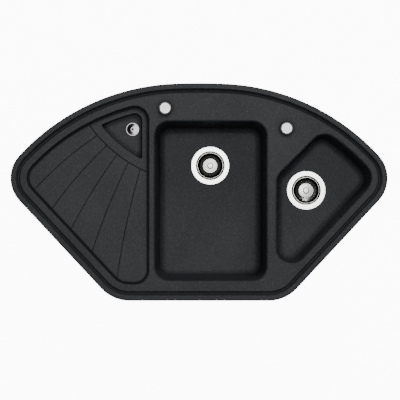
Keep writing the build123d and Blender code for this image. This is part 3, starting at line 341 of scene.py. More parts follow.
def rubber_material():
    material, tree, shader = new_material("rubber_ring", Specular_IOR_Level=0.4)
    skin = use_group(tree, cast_skin, Grain_per_metre=2400.0, Cloud_per_metre=45.0)
    shade = blend_colors(tree, skin.outputs["Cloud"], (0.010, 0.010, 0.011, 1), (0.030, 0.030, 0.032, 1))
    tree.links.new(shade, shader.inputs["Base Color"])
    tree.links.new(spread(tree, skin.outputs["Cloud"], 0.55, 0.8), shader.inputs["Roughness"])
    raise_surface(tree, shader, skin.outputs["Grain"], 0.00004)
    return material


rubber = rubber_material()
for ring in ("outlet_seals", "pipe_seals", "overflow_seal", "knob_seals"):
    paint(ring, rubber)
for bowl in ("main", "corner"):
    for ring in ("flange_seal", "waste_seal", "basket_seal"):
        paint(f"{bowl}_{ring}", rubber)

# ---------------------------------------------------------------- fixing claws
# Zinc-plated strips on long screws, turned out under the worktop and drawn up against it.
# The screws run in knurled brass inserts, cast into bosses under the moulding.


def zinc_material():
    material, tree, shader = new_material("zinc_plated_steel", Metallic=1.0)
    skin = use_group(tree, cast_skin, Grain_per_metre=500.0, Cloud_per_metre=120.0)
    shade = blend_colors(tree, skin.outputs["Cloud"], (0.42, 0.44, 0.47, 1), (0.68, 0.69, 0.70, 1))
    tree.links.new(shade, shader.inputs["Base Color"])
    tree.links.new(spread(tree, skin.outputs["Grain"], 0.28, 0.5), shader.inputs["Roughness"])
    raise_surface(tree, shader, skin.outputs["Grain"], 0.00003)
    return material


def brass_material():
    material, tree, shader = new_material("brass_insert", Metallic=1.0)
    skin = use_group(tree, cast_skin, Grain_per_metre=900.0, Cloud_per_metre=90.0)
    shade = blend_colors(tree, skin.outputs["Cloud"], (0.45, 0.30, 0.11, 1), (0.72, 0.53, 0.24, 1))
    tree.links.new(shade, shader.inputs["Base Color"])
    tree.links.new(spread(tree, skin.outputs["Cloud"], 0.25, 0.45), shader.inputs["Roughness"])
    return material


def places_mesh(name, places):
    """Points that each carry the direction in which a copy stands."""
    mesh = bpy.data.meshes.new(name)
    mesh.from_pydata([point for point, _ in places], [], [])
    facing = mesh.attributes.new("direction", "FLOAT_VECTOR", "POINT")
    for index, (_, direction) in enumerate(places):
        facing.data[index].vector = direction
    return mesh


def stand_on_places(tree, into, out, shape):
    """Stands a shape on every place, along its direction, and ends the tree."""
    facing = add_node(
        tree, "GeometryNodeInputNamedAttribute", {"Name": "direction"}, data_type="FLOAT_VECTOR"
    )
    turn = add_node(
        tree, "FunctionNodeAlignRotationToVector", {"Vector": facing.outputs["Attribute"]}, axis="Z"
    )
    copies = add_node(
        tree,
        "GeometryNodeInstanceOnPoints",
        {
            "Points": into.outputs["Geometry"],
            "Instance": shape,
            "Rotation": turn.outputs["Rotation"],
        },
    )
    real = add_node(
        tree, "GeometryNodeRealizeInstances", {"Geometry": copies.outputs["Instances"]}
    )
    painted = add_node(
        tree,
        "GeometryNodeSetMaterial",
        {"Geometry": real.outputs["Geometry"], "Material": into.outputs["Material"]},
    )
    tree.links.new(painted.outputs["Geometry"], out.inputs["Geometry"])


def shape_tree(name, *sizes):
    """A node tree that takes places, sizes and a material, and gives back a finished mesh."""
    tree, identifiers = new_group(
        name,
        "GeometryNodeTree",
        [
            ("Geometry", "NodeSocketGeometry", None),
            *((label, kind, value) for label, kind, value in sizes),
            ("Material", "NodeSocketMaterial", None),
        ],
        [("Geometry", "NodeSocketGeometry")],
    )
    into = tree.nodes.new("NodeGroupInput")
    out = tree.nodes.new("NodeGroupOutput")
    return tree, identifiers, into, out


def work(tree, operation, first, second):
    """One sum on sizes."""
    return add_node(tree, "ShaderNodeMath", {0: first, 1: second}, operation=operation).outputs[0]


def moved(tree, shape, **along):
    """A shape moved along its axes."""
    offset = add_node(tree, "ShaderNodeCombineXYZ", along)
    return add_node(
        tree, "GeometryNodeTransform", {"Geometry": shape, "Translation": offset.outputs[0]}
    ).outputs["Geometry"]


def joined(tree, *shapes):
    """Several shapes as one."""
    join = tree.nodes.new("GeometryNodeJoinGeometry")
    for shape in shapes:
        tree.links.new(shape, join.inputs["Geometry"])
    return join.outputs["Geometry"]


def thread_ridge(tree, radius, pitch, length, depth):
    """A ridge that winds up round the z axis from z = 0 and stands out by depth from radius."""
    half = work(tree, "MULTIPLY", pitch, 0.5)
    middle_line = work(tree, "ADD", work(tree, "SUBTRACT", radius, half), depth)
    helix = add_node(
        tree,
        "GeometryNodeCurveSpiral",
        {
            "Resolution": 20,
            "Rotations": work(tree, "DIVIDE", length, pitch),
            "Start Radius": middle_line,
            "End Radius": middle_line,
            "Height": length,
        },
    )
    upright = add_node(
        tree, "GeometryNodeSetCurveNormal", {"Curve": helix.outputs["Curve"]}, mode="Z_UP"
    )
    section = add_node(
        tree, "GeometryNodeCurvePrimitiveCircle", {"Resolution": 4, "Radius": half}
    )
    return add_node(
        tree,
        "GeometryNodeCurveToMesh",
        {
            "Curve": upright.outputs["Curve"],
            "Profile Curve": section.outputs["Curve"],
            "Fill Caps": True,
        },
    ).outputs["Mesh"]


def screw_tree():
    """A threaded rod that hangs from its place, with a six-sided head at its lower end."""
    tree, identifiers, into, out = shape_tree(
        "hexagon_screw",
        ("Rod radius", "NodeSocketFloat", 0.0025),
        ("Rod length", "NodeSocketFloat", 0.037),
        ("Pitch", "NodeSocketFloat", 0.0008),
        ("Head radius", "NodeSocketFloat", 0.005),
        ("Head height", "NodeSocketFloat", 0.003),
    )
    size = into.outputs
    depth = work(tree, "MULTIPLY", size["Pitch"], 0.3)
    core = work(tree, "SUBTRACT", size["Rod radius"], depth)
    ridge = thread_ridge(tree, core, size["Pitch"], size["Rod length"], depth)
    rod = add_node(
        tree,
        "GeometryNodeMeshCylinder",
        {"Vertices": 24, "Radius": core, "Depth": size["Rod length"]},
    )
    rod_up = moved(tree, rod.outputs["Mesh"], Z=work(tree, "MULTIPLY", size["Rod length"], 0.5))
    chamfer = work(tree, "MULTIPLY", size["Head height"], 0.25)
    flats = add_node(
        tree,
        "GeometryNodeMeshCylinder",
        {
            "Vertices": 6,
            "Radius": size["Head radius"],
            "Depth": work(tree, "SUBTRACT", size["Head height"], chamfer),
        },
    )
    flats_down = moved(
        tree,
        flats.outputs["Mesh"],
        Z=work(tree, "MULTIPLY", work(tree, "SUBTRACT", size["Head height"], chamfer), -0.5),
    )
    bevel = add_node(
        tree,
        "GeometryNodeMeshCone",
        {
            "Vertices": 6,
            "Radius Bottom": work(tree, "SUBTRACT", size["Head radius"], chamfer),
            "Radius Top": size["Head radius"],
            "Depth": chamfer,
        },
    )
    bevel_down = moved(tree, bevel.outputs["Mesh"], Z=work(tree, "MULTIPLY", size["Head height"], -1.0))
    stand_on_places(tree, into, out, joined(tree, ridge, rod_up, flats_down, bevel_down))
    return tree, identifiers


def grow(name, places, recipe, material, slot, body="sink", stands_for=(), **sizes):
    """Runs a recipe on its places, keeps the plain mesh and hands it to its body."""
    tree, identifiers = recipe
    piece = bpy.data.objects.new(name, places_mesh(f"{name}_places", places))
    bpy.context.scene.collection.objects.link(piece)
    modifier = piece.modifiers.new(tree.name, "NODES")
    modifier.node_group = tree
    for label, value in sizes.items():
        modifier[identifiers[label.replace("_", " ")]] = value
    modifier[identifiers["Material"]] = material
    plain = bpy.data.meshes.new_from_object(piece.evaluated_get(bpy.context.evaluated_depsgraph_get()))
    piece.modifiers.clear()
    piece.data = plain
    plain.shade_smooth()
    plain.set_sharp_from_angle(angle=math.radians(28))
    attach(piece, body)
    if stands_for:
        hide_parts(*stands_for)


claw_sheet = 0.0025
claw_width = 0.014
claw_tail = 0.008
claw_edge = 0.0003
claw_hole = 0.00275
claw_tooth = 0.0014
bend_radius = 0.0035
claw_reach = 0.024
claw_upturn = 0.010
bend_start = claw_reach - bend_radius
bend_length = (bend_radius - claw_sheet / 2) * math.pi / 2
bend_steps = 6
claw_blank_end = bend_start + bend_length + claw_upturn - bend_radius
hole_steps = 24


def claw_blank():
    """The flat strip with its hole and its toothed end, cut from sheet."""
    outline = bpy.data.curves.new("claw_blank", "CURVE")
    outline.dimensions = "2D"
    outline.fill_mode = "BOTH"
    outline.extrude = claw_sheet / 2 - claw_edge
    outline.bevel_depth = claw_edge
    outline.offset = -claw_edge
    half = claw_width / 2
    corner = 0.003
    teeth = 5
    points = [(-claw_tail, -half + corner), (-claw_tail + corner, -half), (claw_blank_end, -half)]
    for tooth in range(teeth):
        start = -half + tooth * claw_width / teeth
        points.append((claw_blank_end - claw_tooth, start + claw_width / teeth / 2))
        points.append((claw_blank_end, start + claw_width / teeth))
    points += [(-claw_tail + corner, half), (-claw_tail, half - corner)]
    ring = [
        (claw_hole * math.cos(turn), claw_hole * math.sin(turn))
        for turn in (step * math.tau / hole_steps for step in range(hole_steps))
    ]
    for loop in (points, ring):
        spline = outline.splines.new("POLY")
        spline.points.add(len(loop) - 1)
        for point, (x, y) in zip(spline.points, loop):
            point.co = (x, y, 0, 1)
        spline.use_cyclic_u = True
    holder = bpy.data.objects.new("claw_blank", outline)
    blank = bpy.data.meshes.new_from_object(holder)
    bpy.data.objects.remove(holder)
    return blank


def bent_claw(number, pivot, outward):
    """Bends the blank's end up at a right angle and stands it on its screw, along the rim."""
    shape = bmesh.new()
    shape.from_mesh(claw_blank())
    bmesh.ops.remove_doubles(shape, verts=shape.verts, dist=1e-6)
    for step in range(bend_steps + 1):
        cut = bend_start + step * bend_length / bend_steps
        bmesh.ops.bisect_plane(
            shape,
            geom=shape.verts[:] + shape.edges[:] + shape.faces[:],
            plane_co=(cut, 0, 0),
            plane_no=(1, 0, 0),
        )
    for vertex in shape.verts:
        along, across, height = vertex.co
        depth = bend_radius - (height + claw_sheet / 2)
        turn = min(max((along - bend_start) / bend_length, 0), 1) * math.pi / 2
        flat = min(along, bend_start)
        rise = max(along - bend_start - bend_length, 0)
        vertex.co = (
            flat + depth * math.sin(turn),
            across,
            bend_radius - depth * math.cos(turn) + rise,
        )
    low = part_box(f"claw_{number}")[0].z
    along_rim = Vector((outward[1], -outward[0], 0))
    across_rim = Vector((0, 0, 1)).cross(along_rim)
    stand = Matrix.Translation((*pivot, low)) @ Matrix(
        (
            (along_rim.x, across_rim.x, 0, 0),
            (along_rim.y, across_rim.y, 0, 0),
            (0, 0, 1, 0),
            (0, 0, 0, 1),
        )
    )
    shape.transform(stand)
    bmesh.ops.recalc_face_normals(shape, faces=shape.faces)
    mesh = bpy.data.meshes.new(f"claw_strip_{number}")
    shape.to_mesh(mesh)
    shape.free()
    mesh.shade_smooth()
    mesh.set_sharp_from_angle(angle=math.radians(35))
    mesh.materials.append(zinc)
    piece = bpy.data.objects.new(f"claw_strip_{number}", mesh)
    bpy.context.scene.collection.objects.link(piece)
    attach(piece, f"claw_{number}")
    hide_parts(f"claw_{number}")


claw_pivots = [
    ((0.149866, 0.021), (0.0, -1.0)),
    ((0.353309, 0.152534), (0.731354, -0.681998)),
    ((0.199011, 0.555803), (0.258819, 0.965926)),
]
claw_pivots += [((-x, y), (-across, out)) for (x, y), (across, out) in claw_pivots]

zinc = zinc_material()
paint("claw_inserts", brass_material())
for number, (pivot, outward) in enumerate(claw_pivots, start=1):
    bent_claw(number, pivot, outward)

screw_low, screw_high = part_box("claw_screws")
head_height = 0.003
hexagon_screw = screw_tree()
grow(
    "claw_long_screws",
    [((*pivot, screw_low.z + head_height), (0, 0, 1)) for pivot, _ in claw_pivots],
    hexagon_screw,
    zinc,
    "steel",
    stands_for=["claw_screws"],
    Rod_length=screw_high.z - screw_low.z - head_height,
    Head_height=head_height,
)

# ---------------------------------------------------------------- strainer wastes
# Each waste is pressed from stainless sheet, spun and then polished, so its brushing runs in
# rings about the middle of the drain. A hollow screw clamps it to the chamber under the bowl.


def turned_group():
    """Brushing in rings about an upright axis: streaks that change with the distance from it."""
    group, _ = new_group(
        "ring_brushing",
        "ShaderNodeTree",
        [
            ("Centre", "NodeSocketVector", None),
            ("Rings per metre", "NodeSocketFloat", 2500.0),
        ],
        [("Streaks", "NodeSocketFloat"), ("Radius", "NodeSocketFloat")],
    )
    into = group.nodes.new("NodeGroupInput")
    out = group.nodes.new("NodeGroupOutput")
    place = add_node(group, "ShaderNodeTexCoord").outputs["Object"]
    offset = add_node(
        group, "ShaderNodeVectorMath", {0: place, 1: into.outputs["Centre"]}, operation="SUBTRACT"
    )
    axes = add_node(group, "ShaderNodeSeparateXYZ", {"Vector": offset.outputs[0]})
    flat = add_node(group, "ShaderNodeCombineXYZ", {"X": axes.outputs["X"], "Y": axes.outputs["Y"]})
    radius = add_node(group, "ShaderNodeVectorMath", {0: flat.outputs[0]}, operation="LENGTH")
    drawn = add_node(
        group,
        "ShaderNodeCombineXYZ",
        {"X": radius.outputs["Value"], "Y": axes.outputs["Z"]},
    )
    streaks = add_node(
        group,
        "ShaderNodeTexNoise",
        {"Vector": drawn.outputs[0], "Scale": into.outputs["Rings per metre"], "Detail": 3.0},
    )
    patches = add_node(
        group, "ShaderNodeTexNoise", {"Vector": place, "Scale": 60.0, "Detail": 2.0}
    )
    worn = add_node(
        group,
        "ShaderNodeMath",
        {0: streaks.outputs["Fac"], 1: patches.outputs["Fac"], 2: 0.0},
        operation="MULTIPLY_ADD",
    )
    group.links.new(worn.outputs[0], out.inputs["Streaks"])
    group.links.new(radius.outputs["Value"], out.inputs["Radius"])
    return group


ring_brushing = turned_group()


def steel_material(name, centre, dull, bright, rough_low, rough_high):
    """Stainless steel brushed in rings about a centre, with painted shade in its hollows and smoother on
    its edges.
    """
    material, tree, shader = new_material(name, Metallic=1.0)
    brushed = use_group(tree, ring_brushing, Centre=centre, Rings_per_metre=1800.0)
    shape = use_group(tree, hollows_and_edges, Hollow_reach=0.006, Edge_radius=0.0004)
    shade = blend_colors(tree, brushed.outputs["Streaks"], (*dull, 1), (*bright, 1))
    # Painted shade: the hollows are darkened towards a third of the dull steel's colour.
    hollow_shade_colour = tuple(part * 0.35 for part in dull)
    hollow_shaded = blend_colors(tree, spread(tree, shape.outputs["Hollow"], 0.0, 0.8), shade, (*hollow_shade_colour, 1))
    tree.links.new(hollow_shaded, shader.inputs["Base Color"])
    rough = spread(tree, brushed.outputs["Streaks"], rough_low, rough_high)
    tree.links.new(
        blend_values(tree, shape.outputs["Edge"], rough, rough_low), shader.inputs["Roughness"]
    )
    raise_surface(
        tree, shader, brushed.outputs["Streaks"], 0.00002, 0.5, shape.outputs["Rounded"]
    )
    return material


def sieve_material(name, centre):
    """The basket's steel: bright between its holes and on its lip, with painted shade on the wall between
    and in its hollows.
    """
    bright = (0.74, 0.73, 0.70, 1)
    dull = (0.40, 0.395, 0.375, 1)
    painted_shade_colour = (0.050, 0.049, 0.044, 1)
    wall_foot, wall_head, fade = 0.0300, 0.0378, 0.0012
    material, tree, shader = new_material(name, Metallic=1.0)
    brushed = use_group(tree, ring_brushing, Centre=centre, Rings_per_metre=1800.0)
    shape = use_group(tree, hollows_and_edges, Hollow_reach=0.006, Edge_radius=0.0004)
    past_foot = add_node(
        tree,
        "ShaderNodeMapRange",
        {"Value": brushed.outputs["Radius"], "From Min": wall_foot, "From Max": wall_foot + fade},
    ).outputs["Result"]
    before_head = add_node(
        tree,
        "ShaderNodeMapRange",
        {"Value": brushed.outputs["Radius"], "From Min": wall_head, "From Max": wall_head - fade},
    ).outputs["Result"]
    on_wall = add_node(
        tree, "ShaderNodeMath", {0: past_foot, 1: before_head}, operation="MULTIPLY"
    ).outputs[0]
    steel = blend_colors(tree, brushed.outputs["Streaks"], dull, bright)
    # Painted shade: the band of wall between foot and head, and the hollows, take a near-black colour.
    wall_shaded = blend_colors(tree, on_wall, steel, painted_shade_colour)
    hollow_shaded = blend_colors(tree, spread(tree, shape.outputs["Hollow"], 0.0, 0.85), wall_shaded, painted_shade_colour)
    tree.links.new(hollow_shaded, shader.inputs["Base Color"])
    tree.links.new(spread(tree, brushed.outputs["Streaks"], 0.24, 0.42), shader.inputs["Roughness"])
    raise_surface(
        tree, shader, brushed.outputs["Streaks"], 0.00002, 0.5, shape.outputs["Rounded"]
    )
    return material


def middle(node):
    """The middle of a node's box, in plan."""
    low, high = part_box(node)
    return ((low.x + high.x) / 2, (low.y + high.y) / 2, 0)


for bowl in ("main", "corner"):
    drain = middle(f"{bowl}_flange")
    spun = steel_material(f"{bowl}_spun_steel", drain, (0.50, 0.50, 0.49), (0.84, 0.84, 0.83), 0.16, 0.34)
    for fitting in ("flange", "clamp_screw", "lift_pin"):
        smooth_copy(f"{bowl}_{fitting}", spun)
    satin = steel_material(f"{bowl}_satin_steel", drain, (0.66, 0.66, 0.65), (0.90, 0.90, 0.88), 0.34, 0.50)
    smooth_copy(f"{bowl}_basket_knob", satin)
    smooth_copy(f"{bowl}_basket", sieve_material(f"{bowl}_sieve_steel", drain))

# ---------------------------------------------------------------- waste chambers and pipes
# Injection-moulded white polypropylene: chamber, tee, bend and straight pipe, joined by unions
# whose black ribbed nuts squeeze a rubber ring round the pipe. The overflow's body is the same.


def white_plastic_material():
    material, tree, shader = new_material("white_polypropylene", Specular_IOR_Level=0.45)
    skin = use_group(tree, cast_skin, Grain_per_metre=1400.0, Cloud_per_metre=18.0)
    shade = blend_colors(tree, skin.outputs["Cloud"], (0.66, 0.67, 0.65, 1), (0.80, 0.81, 0.79, 1))
    tree.links.new(shade, shader.inputs["Base Color"])
    tree.links.new(spread(tree, skin.outputs["Cloud"], 0.34, 0.5), shader.inputs["Roughness"])
    raise_surface(tree, shader, skin.outputs["Grain"], 0.00003)
    return material


def dyed_plastic_material(name, low, high, gloss=0.45):
    """Moulded nylon dyed in the mass, between a low and a high shade."""
    material, tree, shader = new_material(name, Specular_IOR_Level=gloss)
    skin = use_group(tree, cast_skin, Grain_per_metre=2000.0, Cloud_per_metre=30.0)
    shade = blend_colors(tree, skin.outputs["Cloud"], (*low, 1), (*high, 1))
    tree.links.new(shade, shader.inputs["Base Color"])
    tree.links.new(spread(tree, skin.outputs["Cloud"], 0.38, 0.6), shader.inputs["Roughness"])
    raise_surface(tree, shader, skin.outputs["Grain"], 0.00005)
    return material


def swept_ring(tree, inner, outer, low, high, rounding):
    """A ring about the z axis, between two radii and two heights, with rounded edges."""
    round_path = add_node(
        tree,
        "GeometryNodeCurvePrimitiveCircle",
        {"Resolution": 64, "Radius": work(tree, "MULTIPLY", work(tree, "ADD", inner, outer), 0.5)},
    )
    section = add_node(
        tree,
        "GeometryNodeCurvePrimitiveQuadrilateral",
        {
            "Width": work(tree, "SUBTRACT", outer, inner),
            "Height": work(tree, "SUBTRACT", high, low),
        },
    )
    softened = add_node(
        tree,
        "GeometryNodeFilletCurve",
        {"Curve": section.outputs["Curve"], "Radius": rounding, "Count": 3},
        mode="POLY",
    )
    swept = add_node(
        tree,
        "GeometryNodeCurveToMesh",
        {"Curve": round_path.outputs["Curve"], "Profile Curve": softened.outputs["Curve"]},
    )
    middle_height = work(tree, "MULTIPLY", work(tree, "ADD", low, high), 0.5)
    return moved(tree, swept.outputs["Mesh"], Z=middle_height)


def union_nut_tree():
    """A ribbed cap nut that stands in its socket's mouth, with a lip that runs in to the pipe."""
    tree, identifiers, into, out = shape_tree(
        "ribbed_union_nut",
        ("Bore radius", "NodeSocketFloat", 0.0231),
        ("Outer radius", "NodeSocketFloat", 0.028),
        ("Pipe radius", "NodeSocketFloat", 0.0203),
        ("Skirt", "NodeSocketFloat", 0.015),
        ("Seal", "NodeSocketFloat", 0.005),
        ("Lip", "NodeSocketFloat", 0.003),
        ("Ribs", "NodeSocketInt", 8),
        ("Rounding", "NodeSocketFloat", 0.0008),
    )
    size = into.outputs
    skirt_end = work(tree, "MULTIPLY", size["Skirt"], -1.0)
    top = work(tree, "ADD", size["Seal"], size["Lip"])
    wall = swept_ring(tree, size["Bore radius"], size["Outer radius"], skirt_end, top, size["Rounding"])
    lip = swept_ring(
        tree, size["Pipe radius"], size["Outer radius"], size["Seal"], top, size["Rounding"]
    )
    rib_length = work(tree, "ADD", size["Skirt"], size["Seal"])
    bar = add_node(
        tree,
        "GeometryNodeMeshCylinder",
        {"Vertices": 16, "Radius": work(tree, "MULTIPLY", size["Lip"], 0.5), "Depth": rib_length},
    )
    bar_drop = work(tree, "MULTIPLY", work(tree, "SUBTRACT", size["Seal"], size["Skirt"]), 0.5)
    bar_lowered = moved(tree, bar.outputs["Mesh"], Z=bar_drop)
    around = add_node(
        tree,
        "GeometryNodeMeshCircle",
        {"Vertices": size["Ribs"], "Radius": size["Outer radius"]},
    )
    ribs = add_node(
        tree,
        "GeometryNodeInstanceOnPoints",
        {"Points": around.outputs["Mesh"], "Instance": bar_lowered},
    )
    stand_on_places(tree, into, out, joined(tree, wall, lip, ribs.outputs["Instances"]))
    return tree, identifiers


def bare_thread_tree():
    """The turns of a moulded thread that show behind its nut, from the place downwards."""
    tree, identifiers, into, out = shape_tree(
        "bare_thread",
        ("Core radius", "NodeSocketFloat", 0.023),
        ("Pitch", "NodeSocketFloat", 0.003),
        ("Length", "NodeSocketFloat", 0.006),
        ("Depth", "NodeSocketFloat", 0.0007),
    )
    size = into.outputs
    ridge = thread_ridge(tree, size["Core radius"], size["Pitch"], size["Length"], size["Depth"])
    stand_on_places(tree, into, out, ridge)
    return tree, identifiers


def fin_tree():
    """Upright fins all round a chamber, from its wall out to the edge of its flange."""
    tree, identifiers, into, out = shape_tree(
        "chamber_fins",
        ("Root radius", "NodeSocketFloat", 0.0455),
        ("Reach", "NodeSocketFloat", 0.0078),
        ("Drop", "NodeSocketFloat", 0.014),
        ("Thickness", "NodeSocketFloat", 0.002),
        ("Fins", "NodeSocketInt", 12),
    )
    size = into.outputs
    fall = work(tree, "MULTIPLY", size["Drop"], -1.0)
    outline = add_node(
        tree,
        "GeometryNodeCurvePrimitiveQuadrilateral",
        {
            "Point 1": add_node(tree, "ShaderNodeCombineXYZ", {"X": 0.0}).outputs[0],
            "Point 2": add_node(tree, "ShaderNodeCombineXYZ", {"Y": fall}).outputs[0],
            "Point 3": add_node(
                tree, "ShaderNodeCombineXYZ", {"X": size["Reach"], "Y": work(tree, "MULTIPLY", fall, 0.1)}
            ).outputs[0],
            "Point 4": add_node(tree, "ShaderNodeCombineXYZ", {"X": size["Reach"]}).outputs[0],
        },
        mode="POINTS",
    )
    sheet = add_node(tree, "GeometryNodeFillCurve", {"Curve": outline.outputs["Curve"]}, mode="NGONS")
    thick = add_node(
        tree,
        "GeometryNodeExtrudeMesh",
        {"Mesh": sheet.outputs["Mesh"], "Offset Scale": size["Thickness"], "Individual": False},
    )
    back = add_node(tree, "GeometryNodeFlipFaces", {"Mesh": sheet.outputs["Mesh"]})
    closed = add_node(
        tree,
        "GeometryNodeMergeByDistance",
        {"Geometry": joined(tree, thick.outputs["Mesh"], back.outputs["Mesh"]), "Distance": 1e-6},
    )
    upright_fin = add_node(
        tree,
        "GeometryNodeTransform",
        {
            "Geometry": moved(
                tree, closed.outputs["Geometry"], Z=work(tree, "MULTIPLY", size["Thickness"], -0.5)
            ),
            "Rotation": (math.pi / 2, 0.0, 0.0),
        },
    )
    around = add_node(
        tree, "GeometryNodeMeshCircle", {"Vertices": size["Fins"], "Radius": size["Root radius"]}
    )
    outwards = add_node(
        tree,
        "FunctionNodeAlignRotationToVector",
        {"Vector": add_node(tree, "GeometryNodeInputPosition").outputs["Position"]},
        axis="X",
        pivot_axis="Z",
    )
    fins = add_node(
        tree,
        "GeometryNodeInstanceOnPoints",
        {
            "Points": around.outputs["Mesh"],
            "Instance": upright_fin.outputs["Geometry"],
            "Rotation": outwards.outputs["Rotation"],
        },
    )
    stand_on_places(tree, into, out, fins.outputs["Instances"])
    return tree, identifiers


white_plastic = white_plastic_material()
black_plastic = dyed_plastic_material("black_nylon", (0.012, 0.012, 0.013), (0.035, 0.035, 0.037))
# The seal plate's nylon is set far darker than black nylon: painted shade seen through the basket's holes.
plate_nylon_painted_shade = dyed_plastic_material(
    "nylon_darkened_as_painted_shade", (0.0006, 0.0006, 0.0006), (0.0016, 0.0016, 0.0016), gloss=0.15
)
for fitting in (
    "main_waste_body",
    "corner_waste_body",
    "tee",
    "corner_elbow",
    "link_pipe",
    "overflow_body",
    "overflow_pipe",
):
    smooth_copy(fitting, white_plastic)
for bowl in ("main", "corner"):
    for fitting in ("lift_lever", "cable_clip"):
        smooth_copy(f"{bowl}_{fitting}", black_plastic)
    smooth_copy(f"{bowl}_seal_plate", plate_nylon_painted_shade)

grow(
    "chamber_fins",
    [((0.033, 0.378, -0.203), (0, 0, 1)), ((0.312, 0.304494, -0.145), (0, 0, 1))],
    fin_tree(),
    white_plastic,
    "white_plastic",
)

outlet_mouths = [
    ((0.033, 0.378, -0.273), (0, 0, -1)),
    ((0.312, 0.304494, -0.215), (0, 0, -1)),
]
link_mouths = [
    ((0.092934, 0.36221, -0.316377), (0.96667, -0.25468, 0.02618)),
    ((0.252066, 0.320284, -0.312068), (-0.96667, 0.25468, -0.02618)),
]
overflow_mouths = [
    ((-0.03551, 0.408519, -0.221), (-0.91347, 0.40692, 0)),
    ((-0.188, 0.476448, -0.0799), (0, 0, -1)),
]
ribbed_nut = union_nut_tree()
for name, mouths, replaced in (
    ("outlet_union_nuts", outlet_mouths, "outlet_nuts"),
    ("link_union_nuts", link_mouths, "pipe_nuts"),
):
    grow(name, mouths, ribbed_nut, black_plastic, "black_plastic", stands_for=[replaced])
grow(
    "overflow_union_nuts",
    overflow_mouths,
    ribbed_nut,
    black_plastic,
    "black_plastic",
    stands_for=["pipe_nuts"],
    Bore_radius=0.0126,
    Outer_radius=0.0175,
    Pipe_radius=0.0103,
)

skirt = 0.015
shown_thread = 0.0055
bare_thread = bare_thread_tree()


def behind_nuts(mouths):
    """Where the thread comes out from under each nut's skirt."""
    return [
        (tuple(p - (skirt + shown_thread) * d for p, d in zip(place, way)), way)
        for place, way in mouths
    ]


grow(
    "socket_threads",
    behind_nuts(outlet_mouths + link_mouths),
    bare_thread,
    white_plastic,
    "white_plastic",
)
grow(
    "overflow_threads",
    behind_nuts(overflow_mouths),
    bare_thread,
    white_plastic,
    "white_plastic",
    Core_radius=0.0125,
    Pitch=0.002,
    Depth=0.0005,
)

# ---------------------------------------------------------------- overflow rosette
# A chrome-plated cover with curved slots, held by one screw through the tray's floor.


def chrome_material():
    material, tree, shader = new_material("chrome_plate", Metallic=1.0)
    brushed = use_group(
        tree, ring_brushing, Centre=middle("overflow_rosette"), Rings_per_metre=500.0
    )
    shape = use_group(tree, hollows_and_edges, Hollow_reach=0.004, Edge_radius=0.0004)
    shade = blend_colors(tree, brushed.outputs["Streaks"], (0.09, 0.09, 0.092, 1), (0.20, 0.20, 0.203, 1))
    shadowed = blend_colors(
        tree, spread(tree, shape.outputs["Hollow"], 0.0, 0.8), shade, (0.03, 0.03, 0.031, 1)
    )
    tree.links.new(shadowed, shader.inputs["Base Color"])
    tree.links.new(spread(tree, brushed.outputs["Streaks"], 0.08, 0.22), shader.inputs["Roughness"])
    tree.links.new(shape.outputs["Rounded"], shader.inputs["Normal"])
    return material


chrome = chrome_material()
smooth_copy("overflow_rosette", chrome)
smooth_copy("overflow_screw", chrome)

# ---------------------------------------------------------------- turning controls
# Each disc is chrome-plated, with a satin top and a polished bevel. It turns in a plated base that
# is clamped through the deck, over a plastic box where its drum winds the cable.


def knob_material(name, centre, top_radius):
    """Satin inside the top's edge, polished outside it."""
    material, tree, shader = new_material(name, Metallic=1.0)
    brushed = use_group(tree, ring_brushing, Centre=centre, Rings_per_metre=2600.0)
    on_top = add_node(
        tree,
        "ShaderNodeMath",
        {0: brushed.outputs["Radius"], 1: top_radius},
        operation="LESS_THAN",
    ).outputs[0]
    polished = spread(tree, brushed.outputs["Streaks"], 0.05, 0.10)
    satin = spread(tree, brushed.outputs["Streaks"], 0.34, 0.52)
    brushed_top = blend_colors(
        tree, brushed.outputs["Streaks"], (0.44, 0.44, 0.45, 1), (0.60, 0.60, 0.61, 1)
    )
    shade = blend_colors(tree, on_top, (0.88, 0.88, 0.89, 1), brushed_top)
    tree.links.new(blend_values(tree, on_top, polished, satin), shader.inputs["Roughness"])
    tree.links.new(shade, shader.inputs["Base Color"])
    raise_surface(tree, shader, brushed.outputs["Streaks"], 0.00001, 0.4)
    return material


grey_plastic = dyed_plastic_material("grey_nylon", (0.10, 0.10, 0.105), (0.17, 0.17, 0.175))
top_edge = 0.0145
for bowl in ("main", "corner"):
    disc = knob_material(f"{bowl}_disc_plating", middle(f"{bowl}_knob"), top_edge)
    smooth_copy(f"{bowl}_knob", disc)
    smooth_copy(f"{bowl}_knob_base", chrome)
    for fitting in ("cable_drum", "cable_box", "box_lid"):
        smooth_copy(f"{bowl}_{fitting}", grey_plastic)
smooth_copy("knob_nuts", black_plastic)
smooth_copy("knob_washers", black_plastic)

# ---------------------------------------------------------------- studio
# A pale floor below the pipework, two round soft lights and a camera straight above. Floor and sky
# look white to the camera but light the object far less, as the photograph's surround is pure white.

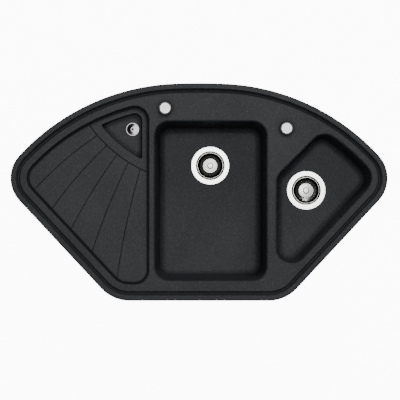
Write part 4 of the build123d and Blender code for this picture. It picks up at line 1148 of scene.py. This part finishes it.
floor_mesh = bpy.data.meshes.new("floor")
floor_gap = 0.004
floor_z = cad_box[0].z - floor_gap
reach = 9.0
floor_mesh.from_pydata(
    [(x * reach, y * reach, floor_z) for x, y in ((-1, -1), (1, -1), (1, 1), (-1, 1))],
    [],
    [(0, 1, 2, 3)],
)
floor = bpy.data.objects.new("floor", floor_mesh)
bpy.context.scene.collection.objects.link(floor)
paper, paper_tree, paper_shader = new_material(
    "pale_floor",
    Base_Color=(0.9, 0.9, 0.9, 1),
    Roughness=0.9,
    Specular_IOR_Level=0.1,
    Emission_Color=(1, 1, 1, 1),
)
seen_white = 11.0
own_glow = 1.0
seen_straight = add_node(paper_tree, "ShaderNodeLightPath").outputs["Is Camera Ray"]
glow = spread(paper_tree, seen_straight, own_glow, seen_white)
paper_tree.links.new(glow, paper_shader.inputs["Emission Strength"])
from_below = add_node(paper_tree, "ShaderNodeNewGeometry").outputs["Backfacing"]
paper_tree.links.new(spread(paper_tree, from_below, 1.0, 0.0), paper_shader.inputs["Alpha"])
floor_mesh.materials.append(paper)

world = bpy.data.worlds.new("soft_room")
bpy.context.scene.world = world
world.use_nodes = True
sky = world.node_tree
background = sky.nodes["Background"]
direction = add_node(sky, "ShaderNodeTexCoord").outputs["Generated"]
height = add_node(sky, "ShaderNodeSeparateXYZ", {"Vector": direction}).outputs["Z"]
low_sky, high_sky = 0.30, 0.65
low_glow, high_glow = 2.1, 0.12
brightness = add_node(
    sky,
    "ShaderNodeMapRange",
    {
        "Value": height,
        "From Min": low_sky,
        "From Max": high_sky,
        "To Min": low_glow,
        "To Max": high_glow,
    },
)
paper_white = 140.0
looked_at = add_node(sky, "ShaderNodeLightPath").outputs["Is Camera Ray"]
shown = blend_values(sky, looked_at, brightness.outputs["Result"], paper_white)
sky.links.new(shown, background.inputs["Strength"])


def soft_light(name, place, aim, size, power):
    """A round soft light, turned to what it lights."""
    lamp = bpy.data.lights.new(name, "AREA")
    lamp.shape = "DISK"
    lamp.size = size
    lamp.energy = power
    light = bpy.data.objects.new(name, lamp)
    light.location = place
    light.rotation_euler = (Vector(aim) - Vector(place)).to_track_quat("-Z", "Y").to_euler()
    bpy.context.scene.collection.objects.link(light)


soft_light("overhead", (0.10, 0.65, 4.4), (0.05, 0.35, 0), 1.9, 92)
soft_light("behind", (0.9, 3.4, 2.6), (0.0, 0.3, 0), 1.2, 45)

photo_width_m = 1.1248
photo_middle = (0.0027, 0.2764)
camera_height = 3.7
camera_data = bpy.data.cameras.new("camera")
camera_data.sensor_width = 36
camera_data.lens = camera_data.sensor_width * camera_height / photo_width_m
camera_data.clip_end = 50
camera = bpy.data.objects.new("camera", camera_data)
camera.location = (*photo_middle, camera_height)
bpy.context.scene.collection.objects.link(camera)
bpy.context.scene.camera = camera
